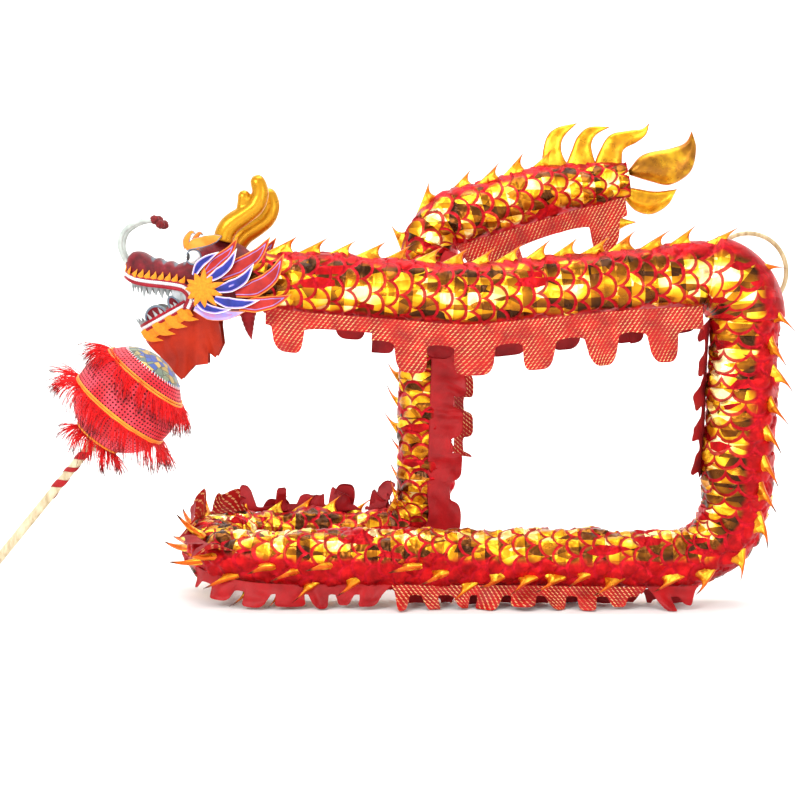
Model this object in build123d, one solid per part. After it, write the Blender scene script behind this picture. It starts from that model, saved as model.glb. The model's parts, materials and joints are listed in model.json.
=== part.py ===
from build123d import *
import math
import os

# Hand-held dance dragon and the pearl that it chases, laid out as a display loop.
# One long cloth tube over wooden hoops runs back from the head along the top, down an
# upright, forward along the floor, round a coil, back along the floor, up a rear strand
# and out into the tail. +X is towards the tail side, +Y away from the viewer, +Z up.
# The cloth tube is cut into sections, one rigid body each, with a gap at each bend.

# Driving dimensions, millimetres and degrees
RUN_RADIUS = 98
UPRIGHT_RADIUS = 106
FLOOR_RADIUS = 88
STRAND_RADIUS = 92
TAIL_RADII = (96, 91, 64)
CLOTH = 4
PLATE = 3
CLEAR = 0.3
TOP_HEIGHT = 930
FLOOR_HEIGHT = 140
BACK_DEPTH = 400
COIL_RADIUS = 200
RUN_CORNER = 130
BASE_CORNER_RADIUS = 190
BEND_GAP = 13
SWAY_GAP = 20
TAIL_GAP = 23

# Bends between sections, at rest
NECK = Vector(-350, 0, 972)
FRONT_BEND = Vector(200, 0, TOP_HEIGHT)
TOP_CORNER = Vector(1035, 0, 1012)
BASE_CORNER = Vector(1010, 0, FLOOR_HEIGHT)
BASE_BEND = Vector(300, 0, FLOOR_HEIGHT)
COIL_FRONT = Vector(-345, 0, FLOOR_HEIGHT)
COIL_BACK = Vector(-345, BACK_DEPTH, FLOOR_HEIGHT)
STRAND_FOOT = Vector(80, BACK_DEPTH, 330)
STRAND_TOP = Vector(92, BACK_DEPTH, 1140)
TAIL_BEND = Vector(245, BACK_DEPTH, 1189)
UPRIGHT_AXIS = (BASE_CORNER - TOP_CORNER).normalized()
UPRIGHT_TOP = TOP_CORNER + UPRIGHT_AXIS * 192
UPRIGHT_FOOT = TOP_CORNER + UPRIGHT_AXIS * 632

# Fins, skirts and hoops
FIN_BASE = 76
FIN_HEIGHT = 60
FIN_PITCH = 90
FIN_MARGIN = 52
FIN_CLEAR = 1
SKIRT_TOP = 70
SKIRT_BAND = 132
SKIRT_REACH = 205
SHORT_REACH = 168
LOBE_WIDTH = 96
LOBE_PITCH = 184
LOBE_ROUND = 28
HOOP_ROD = 5
HOOP_BAR = 7
SPARE_HOOP_RADIUS = 118

# Head
JAW_PIVOT = Vector(-621, 0, 945)
JAW_PIN_RADIUS = 4.25
JAW_PIN_PLAY = 0.05
JAW_LENGTH = 158
JAW_DEPTH = 44
JAW_HALF_WIDTH = 58
JAW_PLANE = Plane(origin=(-622, 0, 862), x_dir=(-0.916, 0, -0.401), z_dir=(0, 1, 0))
HEAD_SECTIONS = (
    (-804, 986, 1052, 42),
    (-764, 980, 1068, 62),
    (-700, 972, 1050, 74),
    (-640, 966, 1064, 90),
    (-585, 930, 1102, 102),
    (-540, 886, 1112, 107),
    (-450, 872, 1092, 104),
    (-372, 874, 1070, 98),
)
HEAD_WALL = 6
TOOTH_PLACES = ((-782, 26), (-766, 38), (-748, 46), (-728, 51), (-706, 55), (-684, 58))
UPPER_TOOTH = 34
LOWER_TOOTH = 22
EYE_RADIUS = 21
EYE_CENTRE = Vector(-604, 84, 1048)
HORN_RADIUS = 18
PRONG_RADIUS = 15
FAR_HORN_SHIFT = Vector(24, 0, -34)
SOCKET_BORE = 12.6
SOCKET_RADIUS = 17
SOCKET_DEPTH = 80
SOCKET_X = -450
SOCKET_MOUTH = 800
SOCKET_TOP = 955
CHEEK = Vector(-570, 114, 955)
MANE_SLOPE = 7
MANE_TIPS = ((102, 150, 34), (190, 154, 38), (232, 101, 40), (254, -17, 40), (118, -76, 34))
MANE_ROOT = 40
ROSETTE_REACH = 58
ROSETTE_INNER = 38
BEARD_HALF_LENGTH = 100
BEARD_HALF_WIDTH = 45
BEARD_X = -655
BEARD_BOTTOM = 684
WHISKER_RADIUS = 6
WHISKER_ROOT = Vector(-812, 24, 1035)
POMPOM_RADIUS = 17

# Pearl on its pole
PEARL_CENTRE = Vector(-775, -262, 643)
PEARL_RADIUS = 152.5
POLE_RADIUS = 13
POLE_PLAY = 0.05
POLE_AXIS = Vector(0.634, 0, 0.773).normalized()
PEARL_WALL = 3
FRINGE_DEPTH = 42
RING_ROD = 5
RING_OFFSETS = (85, -34, -140)
CAP_OFFSET = 128
POLE_RISE = PEARL_CENTRE.Z - POLE_RADIUS * POLE_AXIS.X
POLE_FOOT = PEARL_CENTRE - POLE_AXIS * (POLE_RISE / POLE_AXIS.Z)

UP = Vector(0, 0, 1)
OUT_RIGHT = Vector(1, 0, 0)
OUT_LEFT = Vector(-1, 0, 0)
FRONT_LOW = Vector(0, -0.85, -0.5)
FRONT_UP = Vector(0, -0.7, 0.7)
LENGTH = PositionMode.LENGTH
STANDING = (Align.CENTER, Align.CENTER, Align.MIN)

parts = {}


def toward(start, end, distance):
    """Point at a distance from start on the way to end."""
    return start + (end - start).normalized() * distance


def joined(points, radii):
    """Straight runs joined by tangent arcs."""
    return FilletPolyline(*points, radius=radii)


def frame_on(path, distance, dorsal):
    """Plane at a distance along a path: x along it, y to the dorsal side, z to the side."""
    point = path.position_at(distance, position_mode=LENGTH)
    tangent = path.tangent_at(distance, position_mode=LENGTH)
    square = dorsal - tangent * dorsal.dot(tangent)
    return Plane(origin=point, x_dir=tangent, z_dir=tangent.cross(square.normalized()))


def tube(path, radius, wall=CLOTH):
    start = Plane(origin=path @ 0, z_dir=path % 0)
    return sweep(start * (Circle(radius) - Circle(radius - wall)), path=path)


def hoop(plane, radius):
    """Bent rod ring with the grip bar across it, square to the path."""
    ring = Torus(radius, HOOP_ROD)
    bar = Cylinder(HOOP_BAR, 2 * radius, rotation=(90, 0, 0))
    return Plane(origin=plane.origin, x_dir=plane.z_dir, z_dir=plane.x_dir) * (ring + bar)


def fin(plane, radius):
    """Thorn standing on the tube and leaning along the path."""
    foot = radius + FIN_CLEAR
    tip = (FIN_BASE * 0.72, foot + FIN_HEIGHT)
    leading = ThreePointArc((-FIN_BASE / 2, foot), (FIN_BASE * 0.02, foot + FIN_HEIGHT * 0.72), tip)
    trailing = ThreePointArc(tip, (FIN_BASE * 0.42, foot + FIN_HEIGHT * 0.42), (FIN_BASE / 2, foot))
    base = Line((FIN_BASE / 2, foot), (-FIN_BASE / 2, foot))
    return extrude(plane * make_face([leading, trailing, base]), amount=PLATE / 2, both=True)


def spine(path, radius, first_dorsal, last_dorsal):
    """Row of fins along a section, turning from one dorsal side to the other."""
    count = int((path.length - 2 * FIN_MARGIN) / FIN_PITCH) + 1
    start = (path.length - (count - 1) * FIN_PITCH) / 2
    fins = []
    for index in range(count):
        distance = start + index * FIN_PITCH
        share = distance / path.length
        plane = frame_on(path, distance, first_dorsal * (1 - share) + last_dorsal * share)
        fins.append(fin(plane, radius))
    return fins


def skirt(path, first, last, dorsal, side, top=SKIRT_TOP, band=SKIRT_BAND, reach=SKIRT_REACH):
    """Two lobed strips hanging one on each flank of a straight stretch."""
    length = last - first
    plane = frame_on(path, first, dorsal)
    outline = Pos(length / 2, -(top + band) / 2) * Rectangle(length, band - top)
    lobes = max(1, int(length / LOBE_PITCH))
    lobe = RectangleRounded(LOBE_WIDTH, reach - top - 1, LOBE_ROUND)
    for index in range(lobes):
        centre = (index + 0.5) * length / lobes
        outline += Pos(centre, -(reach + top + 1) / 2) * lobe
    strips = []
    for offset in (side, -side - PLATE):
        strips.append(extrude(plane.offset(offset) * outline, amount=PLATE))
    return strips


def floor_skirt(path, first, last):
    """Strips that stand on the floor and carry a section lying on it."""
    return skirt(path, first, last, UP, FLOOR_RADIUS - 22, SKIRT_TOP, FLOOR_HEIGHT - 40, FLOOR_HEIGHT)


def hoops(path, radius, dorsal, places):
    inner = radius - CLOTH - CLEAR - HOOP_ROD
    return [hoop(frame_on(path, place, dorsal), inner) for place in places]


def add_section(name, path, radius, spine_dorsals, skirts, hoop_places):
    parts["cover_" + name] = [tube(path, radius)]
    parts["spine_" + name] = spine(path, radius, *spine_dorsals)
    parts["skirt_" + name] = skirts
    parts["hoops_" + name] = hoops(path, radius, spine_dorsals[0], hoop_places)


# ---- Body sections, head end first ------------------------------------------------

front_path = Line(toward(NECK, FRONT_BEND, SWAY_GAP), toward(FRONT_BEND, NECK, SWAY_GAP))
add_section(
    "front_run", front_path, RUN_RADIUS, (UP, UP),
    skirt(front_path, 26, front_path.length - 26, UP, 78), (40, 260, 480),
)

hind_path = joined(
    (toward(FRONT_BEND, TOP_CORNER, SWAY_GAP), TOP_CORNER, UPRIGHT_TOP - UPRIGHT_AXIS * BEND_GAP),
    RUN_CORNER,
)
add_section(
    "hind_run", hind_path, RUN_RADIUS, (UP, OUT_RIGHT),
    skirt(hind_path, 26, 600, UP, 78), (40, 340, 640),
)
spare_hoop = Torus(SPARE_HOOP_RADIUS, HOOP_BAR, rotation=(90, 0, 0))
parts["hoops_hind_run"].append(Pos(1058, RUN_RADIUS + HOOP_BAR + 2, 1002) * spare_hoop)

upright_path = Line(UPRIGHT_TOP + UPRIGHT_AXIS * BEND_GAP, UPRIGHT_FOOT - UPRIGHT_AXIS * BEND_GAP)
add_section(
    "upright", upright_path, UPRIGHT_RADIUS, (OUT_RIGHT, OUT_RIGHT),
    skirt(upright_path, 14, upright_path.length - 14, OUT_RIGHT, 86, 76, 120, SHORT_REACH), (40, 370),
)

base_right_path = joined(
    (UPRIGHT_FOOT + UPRIGHT_AXIS * BEND_GAP, BASE_CORNER, toward(BASE_BEND, BASE_CORNER, BEND_GAP)),
    BASE_CORNER_RADIUS,
)
base_right_end = base_right_path.length
add_section(
    "base_right", base_right_path, FLOOR_RADIUS, (OUT_RIGHT, FRONT_LOW),
    floor_skirt(base_right_path, 420, base_right_end - 16), (40, 330, 600),
)

base_left_path = Line(toward(BASE_BEND, COIL_FRONT, BEND_GAP), toward(COIL_FRONT, BASE_BEND, BEND_GAP))
add_section(
    "base_left", base_left_path, FLOOR_RADIUS, (FRONT_LOW, FRONT_UP),
    floor_skirt(base_left_path, 10, base_left_path.length - 10), (40, 310, 580),
)

coil_lead = 30
coil_start = COIL_FRONT + OUT_LEFT * BEND_GAP
coil_end = COIL_BACK + OUT_LEFT * BEND_GAP
coil_side = coil_start + OUT_LEFT * coil_lead
coil_middle = Vector(coil_side.X - COIL_RADIUS, BACK_DEPTH / 2, FLOOR_HEIGHT)
coil_return = Vector(coil_side.X, BACK_DEPTH, FLOOR_HEIGHT)
coil_path = Wire([
    Line(coil_start, coil_side),
    ThreePointArc(coil_side, coil_middle, coil_return),
    Line(coil_return, coil_end),
])


def coil_hem(radius):
    """Half-round strip that stands on the floor under the coil."""
    ring = Circle(radius + PLATE) - Circle(radius)
    half = ring & (Pos(-radius, 0) * Rectangle(2 * radius, 4 * radius))
    return Pos(coil_side.X, BACK_DEPTH / 2, 0) * extrude(half, amount=SKIRT_TOP)


coil_skirts = [coil_hem(COIL_RADIUS - 70), coil_hem(COIL_RADIUS + 66)]
add_section("coil", coil_path, FLOOR_RADIUS, (FRONT_UP, UP), coil_skirts, (60, 340, 620))

back_path = joined(
    (toward(COIL_BACK, COIL_BACK + OUT_RIGHT, BEND_GAP),
     Vector(STRAND_FOOT.X, BACK_DEPTH, FLOOR_HEIGHT),
     STRAND_FOOT - UP * BEND_GAP),
    RUN_CORNER,
)
add_section(
    "back_run", back_path, FLOOR_RADIUS, (UP, OUT_LEFT),
    floor_skirt(back_path, 10, 270), (40, 240),
)

tail_tip_run = Vector(490, BACK_DEPTH, 1258)
strand_path = joined(
    (toward(STRAND_FOOT, STRAND_TOP, BEND_GAP), STRAND_TOP, toward(TAIL_BEND, STRAND_TOP, TAIL_GAP)),
    RUN_CORNER,
)
add_section(
    "strand", strand_path, STRAND_RADIUS, (OUT_LEFT, OUT_LEFT + UP),
    skirt(strand_path, 20, 640, OUT_LEFT, 74, 66, 108, 152), (40, 330, 620),
)

# Tail: tapering tube, open at the front, closed by a plume of stuffed flames
tail_points = (
    TAIL_BEND + (tail_tip_run - TAIL_BEND).normalized() * TAIL_GAP,
    tail_tip_run,
    Vector(729, BACK_DEPTH, 1294),
)
tail_path = joined(tail_points, 900)
tail_front = (tail_points[1] - tail_points[0]).length
tail_rear = (tail_points[2] - tail_points[1]).length


def tail_radius(distance):
    """Radius of the tapering tail at a distance from its front end."""
    if distance < tail_front:
        return TAIL_RADII[0] + (TAIL_RADII[1] - TAIL_RADII[0]) * distance / tail_front
    return TAIL_RADII[1] + (TAIL_RADII[2] - TAIL_RADII[1]) * (distance - tail_front) / tail_rear


def tail_body(inset):
    """Tapering body through the three tail stations."""
    direction = (tail_points[2] - tail_points[0]).normalized()
    rings = []
    for point, radius in zip(tail_points, TAIL_RADII):
        rings.append(Plane(origin=point, z_dir=direction) * Circle(radius - inset))
    return loft(rings, ruled=True)


def bowed(start, end, bulge):
    """Arc from start to end that stands out to the left of the way by the bulge."""
    run, rise = end[0] - start[0], end[1] - start[1]
    length = math.hypot(run, rise)
    middle_x = (start[0] + end[0]) / 2 - rise / length * bulge
    middle_z = (start[1] + end[1]) / 2 + run / length * bulge
    return ThreePointArc(start, (middle_x, middle_z), end)


def flame(start, tip, end, first_bulge, second_bulge):
    """Flat flame outline from two base points to a tip, with bowed edges."""
    return make_face([bowed(start, tip, first_bulge), bowed(tip, end, second_bulge), Line(end, start)])


def upright_plate(face, thickness, depth):
    """Face drawn in X and Z, thickened about the plane at a given Y."""
    plane = Plane(origin=(0, depth, 0), x_dir=(1, 0, 0), z_dir=(0, -1, 0))
    return extrude(plane * face, amount=thickness / 2, both=True)


STUFFED = 16
tail_outer = tail_body(0)
tail_flames = []
for foot, tip in ((470, (577, 1472)), (565, (661, 1462)), (652, (794, 1472))):
    outline = flame((foot - 48, 1330), tip, (foot + 44, 1330), 34, -34)
    tail_flames.append(upright_plate(outline, STUFFED, BACK_DEPTH) - tail_outer)
plume_start = 730
plumes = [
    flame((plume_start, 1334), (940, 1444), (plume_start, 1284), -40, 62),
    flame((plume_start, 1281), (892, 1190), (plume_start, 1243), 30, 18),
]
parts["cover_tail"] = [tail_outer - tail_body(CLOTH)]
parts["spine_tail"] = [fin(frame_on(tail_path, place, UP), tail_radius(place) + 3) for place in (60, 150)]
parts["skirt_tail"] = skirt(tail_path, 60, 220, UP, 80, 74, 112, 176)
parts["hoops_tail"] = []
for place in (40, 230, 420):
    parts["hoops_tail"] += hoops(tail_path, tail_radius(place) - 3, UP, (place,))
parts["tail_flames"] = tail_flames
parts["tail_plume"] = [upright_plate(outline, STUFFED, BACK_DEPTH) - tail_outer for outline in plumes]


# ---- Head -------------------------------------------------------------------------

def head_body(inset, last_x):
    """Skull and upper jaw through its cross-sections, front to neck."""
    rings = []
    for x, bottom, top, half_width in HEAD_SECTIONS:
        place = x
        if x == HEAD_SECTIONS[0][0]:
            place = x + inset
        if x == HEAD_SECTIONS[-1][0]:
            place = last_x
        plane = Plane(origin=(place, 0, (bottom + top) / 2), x_dir=(0, 1, 0), z_dir=(1, 0, 0))
        rings.append(plane * Ellipse(half_width - inset, (top - bottom) / 2 - inset))
    return loft(rings)


def mirrored(solid):
    return [solid, mirror(solid, about=Plane.XZ)]


neck_x = HEAD_SECTIONS[-1][0]
head_outer = head_body(0, neck_x)
lug = Pos(JAW_PIVOT.X, 0, 962) * Box(26, 16, 58)
head_shell = head_outer - head_body(HEAD_WALL, neck_x + 1) + lug
head_shell -= Pos(JAW_PIVOT) * Cylinder(JAW_PIN_RADIUS + JAW_PIN_PLAY, 60, rotation=(90, 0, 0))
eye_left = Pos(EYE_CENTRE) * Sphere(EYE_RADIUS)
for eye_place in (EYE_CENTRE, Vector(EYE_CENTRE.X, -EYE_CENTRE.Y, EYE_CENTRE.Z)):
    head_shell -= Pos(eye_place) * Sphere(EYE_RADIUS + CLEAR)
head_shell -= Pos(SOCKET_X, 0, 880) * Cylinder(SOCKET_RADIUS + CLEAR, 60)
parts["head_shell"] = [head_shell]
parts["eyes"] = mirrored(eye_left)

socket_rod = Cylinder(SOCKET_RADIUS, SOCKET_TOP - SOCKET_MOUTH, align=STANDING)
socket_bore = Cylinder(SOCKET_BORE, SOCKET_DEPTH, align=STANDING)
parts["head_socket"] = [Pos(SOCKET_X, 0, SOCKET_MOUTH) * (socket_rod - socket_bore)]


def tooth(height, radius):
    return Cone(radius, 1.2, height, align=STANDING)


def head_underside(x, y):
    """Height of the underside of the skull or upper jaw at x and y."""
    for near, far in zip(HEAD_SECTIONS, HEAD_SECTIONS[1:]):
        if near[0] <= x <= far[0]:
            share = (x - near[0]) / (far[0] - near[0])
            bottom, top, half = (a + (b - a) * share for a, b in zip(near[1:], far[1:]))
    return (top + bottom) / 2 - (top - bottom) / 2 * math.sqrt(1 - (y / half) ** 2)


teeth = []
for x, y in TOOTH_PLACES:
    root_height = 8
    place = Plane(origin=(x, y, head_underside(x, y) + root_height), z_dir=(0, 0, -1))
    teeth.append(place * tooth(UPPER_TOOTH + root_height, 8) - head_outer)
parts["upper_teeth"] = teeth + [mirror(one, about=Plane.XZ) for one in teeth]

brow_outline = flame((-628, 1072), (-522, 1124), (-566, 1062), 18, -8)
parts["brows"] = mirrored(upright_plate(brow_outline, 6, 112))


def horn(side):
    """Stuffed horn that rises, sweeps back and curls forward, with one prong. The far one sits lower."""
    shift = FAR_HORN_SHIFT if side > 0 else Vector(0, 0, 0)
    stem_points = ((-530, 1092), (-500, 1152), (-408, 1188), (-432, 1280))
    stem_path = joined([Vector(x, side * 52, z) + shift for x, z in stem_points], (50, 52))
    prong_path = Line(Vector(-462, side * 52, 1168) + shift, Vector(-455, side * 52, 1236) + shift)
    solid = Pos(stem_path @ 1) * Sphere(HORN_RADIUS) + Pos(prong_path @ 1) * Sphere(PRONG_RADIUS)
    for path, radius in ((stem_path, HORN_RADIUS), (prong_path, PRONG_RADIUS)):
        solid += sweep(Plane(origin=path @ 0, z_dir=path % 0) * Circle(radius), path=path)
    return solid - head_outer


parts["horns"] = [horn(1), horn(-1)]


def side_plane(side, lift):
    """Plane of one mane fan, spreading outwards towards the tail."""
    lean = math.radians(MANE_SLOPE)
    x_dir = Vector(math.cos(lean), side * math.sin(lean), 0)
    out = Vector(-math.sin(lean) * side, math.cos(lean), 0) * side
    origin = Vector(CHEEK.X, side * CHEEK.Y, CHEEK.Z) + out * lift
    return Plane(origin=origin, x_dir=x_dir, z_dir=out)


def mane(side):
    """Fan of pointed flames from the cheek."""
    plane = side_plane(side, 2)
    outline = Circle(MANE_ROOT)
    for reach, rise, width in MANE_TIPS:
        length = math.hypot(reach, rise)
        across = Vector(-rise, reach) * (width / length)
        near = Vector(reach, rise) * 0.08
        start = near + across
        end = near - across
        outline += flame((start.X, start.Y), (reach, rise), (end.X, end.Y), 12, 12)
    if side > 0:
        outline = mirror(outline, about=Plane.XZ)
    return extrude(plane * outline, amount=4)


def rosette(side):
    """Twelve-pointed sunburst on the cheek, over the root of the mane."""
    points = []
    for index in range(24):
        angle = math.radians(15 * index)
        reach = ROSETTE_REACH if index % 2 == 0 else ROSETTE_INNER
        points.append((reach * math.cos(angle), reach * math.sin(angle)))
    return extrude(side_plane(side, 6.5) * make_face(Polyline(*points, close=True)), amount=5)


parts["mane_right"] = [mane(1)]
parts["mane_left"] = [mane(-1)]
parts["cheek_rosettes"] = [rosette(1), rosette(-1)]


def whisker(side):
    """Curved springy feeler from the nose, with a pompom on its end."""
    root = Vector(WHISKER_ROOT.X, side * WHISKER_ROOT.Y, WHISKER_ROOT.Z)
    end = Vector(-748, side * 40, 1150)
    path = ThreePointArc(root, (-830, side * 32, 1108), end)
    stem = sweep(Plane(origin=path @ 0, z_dir=path % 0) * Circle(WHISKER_RADIUS), path=path)
    ball = Pos(end + (path % 1) * (POMPOM_RADIUS + 0.2)) * Sphere(POMPOM_RADIUS)
    return [stem, ball]


parts["whisker_right"] = whisker(1)
parts["whisker_left"] = whisker(-1)


# ---- Lower jaw --------------------------------------------------------------------

def jaw_trough(inset, depth, lift):
    """Scoop: side outline of the jaw cut to its rounded plan."""
    length = JAW_LENGTH - inset
    half = JAW_HALF_WIDTH - inset
    side = Pos(length / 2 + inset / 2, lift + depth / 2) * Rectangle(length - inset, depth)
    block = extrude(JAW_PLANE * side, amount=half, both=True)
    plan_plane = Plane(origin=JAW_PLANE.origin, x_dir=JAW_PLANE.x_dir, z_dir=JAW_PLANE.y_dir)
    edges = [
        Line((0, -half), (0, half)),
        ThreePointArc((0, half), (length * 0.72, half * 0.72), (length, 0)),
        ThreePointArc((length, 0), (length * 0.72, -half * 0.72), (0, -half)),
    ]
    return block & extrude(plan_plane * make_face(edges), amount=200, both=True)


lower_jaw = jaw_trough(0, JAW_DEPTH, 0) - jaw_trough(8, JAW_DEPTH, 8)
ear_outline = make_face(Polyline((-648, 893), (-604, 876), (-608, 945), (-634, 945), close=True))
ear_outline += Pos(JAW_PIVOT.X, JAW_PIVOT.Z) * Circle(13)
ear = upright_plate(ear_outline, 6, JAW_HALF_WIDTH - 3)
pin_hole = Pos(JAW_PIVOT) * Cylinder(JAW_PIN_RADIUS, 160, rotation=(90, 0, 0))
parts["lower_jaw"] = [lower_jaw + ear + mirror(ear, about=Plane.XZ) - pin_hole]
pin_length = 2 * JAW_HALF_WIDTH + 6
parts["jaw_pin"] = [Pos(JAW_PIVOT) * Cylinder(JAW_PIN_RADIUS, pin_length, rotation=(90, 0, 0))]

LOWER_TEETH = ((34, 51.5), (56, 50), (78, 47), (100, 42), (120, 35), (138, 25))
teeth = []
for along, across in LOWER_TEETH:
    base = JAW_PLANE.from_local_coords(Vector(along, JAW_DEPTH + CLEAR, across))
    teeth.append(Plane(origin=base, z_dir=JAW_PLANE.y_dir) * tooth(LOWER_TOOTH, 4))
parts["lower_teeth"] = teeth + [mirror(one, about=Plane.XZ) for one in teeth]

tongue_outline = make_face([
    Line((20, 8.5), (20, 20)),
    ThreePointArc((20, 20), (70, 34), (126, 40)),
    ThreePointArc((126, 40), (80, 24), (60, 8.5)),
    Line((60, 8.5), (20, 8.5)),
])
parts["tongue"] = [extrude(JAW_PLANE * tongue_outline, amount=20, both=True)]

beard_ring = Ellipse(BEARD_HALF_LENGTH, BEARD_HALF_WIDTH)
beard_ring -= Ellipse(BEARD_HALF_LENGTH - PLATE, BEARD_HALF_WIDTH - PLATE)
beard_block = Pos(BEARD_X, 0, BEARD_BOTTOM) * extrude(beard_ring, amount=JAW_PIVOT.Z - BEARD_BOTTOM)
jaw_floor = Plane(origin=JAW_PLANE.origin - JAW_PLANE.y_dir * 1.5, z_dir=JAW_PLANE.y_dir)
parts["beard"] = [split(beard_block, bisect_by=jaw_floor, keep=Keep.BOTTOM)]


# ---- Pearl on its pole --------------------------------------------------------------

pearl_plane = Plane(origin=PEARL_CENTRE, x_dir=(0, 1, 0), z_dir=POLE_AXIS)
foot_reach = (PEARL_CENTRE - POLE_FOOT).length
pole_top = PEARL_RADIUS - 24
hub_length = 24


def ring_radius(offset):
    return math.sqrt(max(PEARL_RADIUS ** 2 - offset ** 2, 42 ** 2))


ball = Sphere(PEARL_RADIUS) - Sphere(PEARL_RADIUS - PEARL_WALL)
ball -= Pos(0, 0, -PEARL_RADIUS) * Cylinder(POLE_RADIUS + 12 + CLEAR, 80)
trims = []
for offset in RING_OFFSETS:
    rim = ring_radius(offset) + RING_ROD + 1
    if offset == RING_OFFSETS[-1]:
        rim = 62
    ring = Torus(rim, RING_ROD)
    fringe = Cylinder(rim + FRINGE_DEPTH, PLATE) - Cylinder(rim, PLATE)
    trims.append(Pos(0, 0, offset) * (ring + fringe) - Sphere(PEARL_RADIUS))
cap = Sphere(PEARL_RADIUS + 5) - Sphere(PEARL_RADIUS + CLEAR)
cap &= Pos(0, 0, CAP_OFFSET + 50) * Box(400, 400, 100)
hub = Cylinder(POLE_RADIUS + 12, hub_length) - Cylinder(POLE_RADIUS + POLE_PLAY, hub_length)
hubs = [Pos(0, 0, -PEARL_RADIUS + 14) * hub, Pos(0, 0, PEARL_RADIUS - 44) * hub]
pole_length = foot_reach + pole_top
pole = Pos(0, 0, pole_top - pole_length / 2) * Cylinder(POLE_RADIUS, pole_length)
collar = Pos(0, 0, -PEARL_RADIUS - 16) * (Cylinder(POLE_RADIUS + 6, 12) - Cylinder(POLE_RADIUS, 12))
parts["pearl_ball"] = [pearl_plane * ball]
parts["pearl_trims"] = [pearl_plane * trim for trim in trims]
parts["pearl_cap"] = [pearl_plane * cap]
parts["pearl_hubs"] = [pearl_plane * one for one in hubs]
parts["pearl_pole"] = [pearl_plane * (pole + collar)]


# ---- Write each node, with the origin under the middle of the whole -------------------

whole = Compound(children=[solid for solids in parts.values() for item in solids for solid in item.solids()])
box = whole.bounding_box()
SHIFT = Vector(-(box.min.X + box.max.X) / 2, -(box.min.Y + box.max.Y) / 2, -box.min.Z)

os.makedirs("parts", exist_ok=True)
for name, items in parts.items():
    solids = [solid.moved(Location(SHIFT)) for item in items for solid in item.solids()]
    shape = solids[0] if len(solids) == 1 else Compound(solids)
    export_step(shape, "parts/" + name + ".step")
print(len(parts), "nodes,", "size", box.size, "shift", SHIFT)
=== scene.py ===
import json
import math

import bpy
import numpy as np
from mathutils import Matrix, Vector


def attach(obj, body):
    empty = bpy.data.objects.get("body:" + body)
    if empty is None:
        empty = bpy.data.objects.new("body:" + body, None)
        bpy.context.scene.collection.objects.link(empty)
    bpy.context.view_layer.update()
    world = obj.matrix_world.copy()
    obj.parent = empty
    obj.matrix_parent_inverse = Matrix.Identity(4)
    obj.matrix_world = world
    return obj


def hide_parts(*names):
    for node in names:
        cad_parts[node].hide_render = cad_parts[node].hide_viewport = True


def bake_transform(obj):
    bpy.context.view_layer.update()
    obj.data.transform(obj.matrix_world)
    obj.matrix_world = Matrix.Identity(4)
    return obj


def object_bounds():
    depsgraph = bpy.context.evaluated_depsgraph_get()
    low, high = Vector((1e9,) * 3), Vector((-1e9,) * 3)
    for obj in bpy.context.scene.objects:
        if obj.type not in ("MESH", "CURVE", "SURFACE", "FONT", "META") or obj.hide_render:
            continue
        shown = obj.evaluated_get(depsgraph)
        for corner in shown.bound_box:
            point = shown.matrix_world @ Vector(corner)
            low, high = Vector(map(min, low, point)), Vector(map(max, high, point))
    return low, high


# A hand-held dance dragon laid out as a loop, and the pearl it chases. Metres, +Z up, -X the head's way.
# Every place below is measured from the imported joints, and the cover's clearance from the hoops' nodes.

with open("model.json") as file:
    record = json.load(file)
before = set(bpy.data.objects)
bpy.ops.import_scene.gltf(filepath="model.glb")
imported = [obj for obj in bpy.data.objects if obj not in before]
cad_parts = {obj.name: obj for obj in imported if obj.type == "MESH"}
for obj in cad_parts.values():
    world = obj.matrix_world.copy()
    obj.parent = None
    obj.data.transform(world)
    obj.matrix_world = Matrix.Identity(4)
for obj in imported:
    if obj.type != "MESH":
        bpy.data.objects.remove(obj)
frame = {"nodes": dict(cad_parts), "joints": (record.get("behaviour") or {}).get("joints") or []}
CAD_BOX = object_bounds()
JOINT = {joint["name"]: np.array(joint["pos_m"]) for joint in frame["joints"]}
UP = np.array((0.0, 0.0, 1.0))
FRONT = np.array((0.0, -1.0, 0.0))
RIGHT = np.array((1.0, 0.0, 0.0))
SEED = np.random.default_rng(7)

SCALE = 0.08            # width of one printed fish scale
AROUND = 8              # scales round the tube
ROW = 0.5               # spacing of the scale rows, in scales
ARC = 0.62              # radius of a scale's printed arc, in scales


# ---- Small mathematics ---------------------------------------------------------------

def vec(*values):
    return np.array(values, float)


def unit(v):
    v = np.asarray(v, float)
    return v / np.maximum(np.linalg.norm(v, axis=-1, keepdims=True), 1e-9)


def stacked(*values):
    """Values brought to one shape and stacked as the last axis."""
    return np.stack(np.broadcast_arrays(*values), -1)


def signed_power(x, power):
    return np.sign(x) * np.abs(x) ** power


def smooth(low, high, x):
    t = np.clip((np.asarray(x, float) - low) / (high - low), 0, 1)
    return t * t * (3 - 2 * t)


def table(x, keys):
    """Value at x of a line through (place, value) pairs; a value may be a vector."""
    places = [key[0] for key in keys]
    values = np.array([key[1] for key in keys], float)
    if values.ndim == 1:
        return np.interp(x, places, values)
    return np.stack([np.interp(x, places, column) for column in values.T], axis=-1)


def curve(points, count):
    """Smooth line through the points, evenly spaced."""
    p = np.array(points, float)
    p = np.vstack([2 * p[0] - p[1], p, 2 * p[-1] - p[-2]])
    out = []
    for a, b, c, d in zip(p, p[1:], p[2:], p[3:]):
        for t in np.linspace(0, 1, 24, endpoint=False):
            out.append(0.5 * (2 * b + (c - a) * t + (2 * a - 5 * b + 4 * c - d) * t ** 2
                              + (3 * b - a - 3 * c + d) * t ** 3))
    return spaced(np.array(out + [p[-2]]), count)


def lengths(points):
    steps = np.linalg.norm(np.diff(points, axis=0), axis=1)
    return np.concatenate([[0], np.cumsum(steps)])


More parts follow.
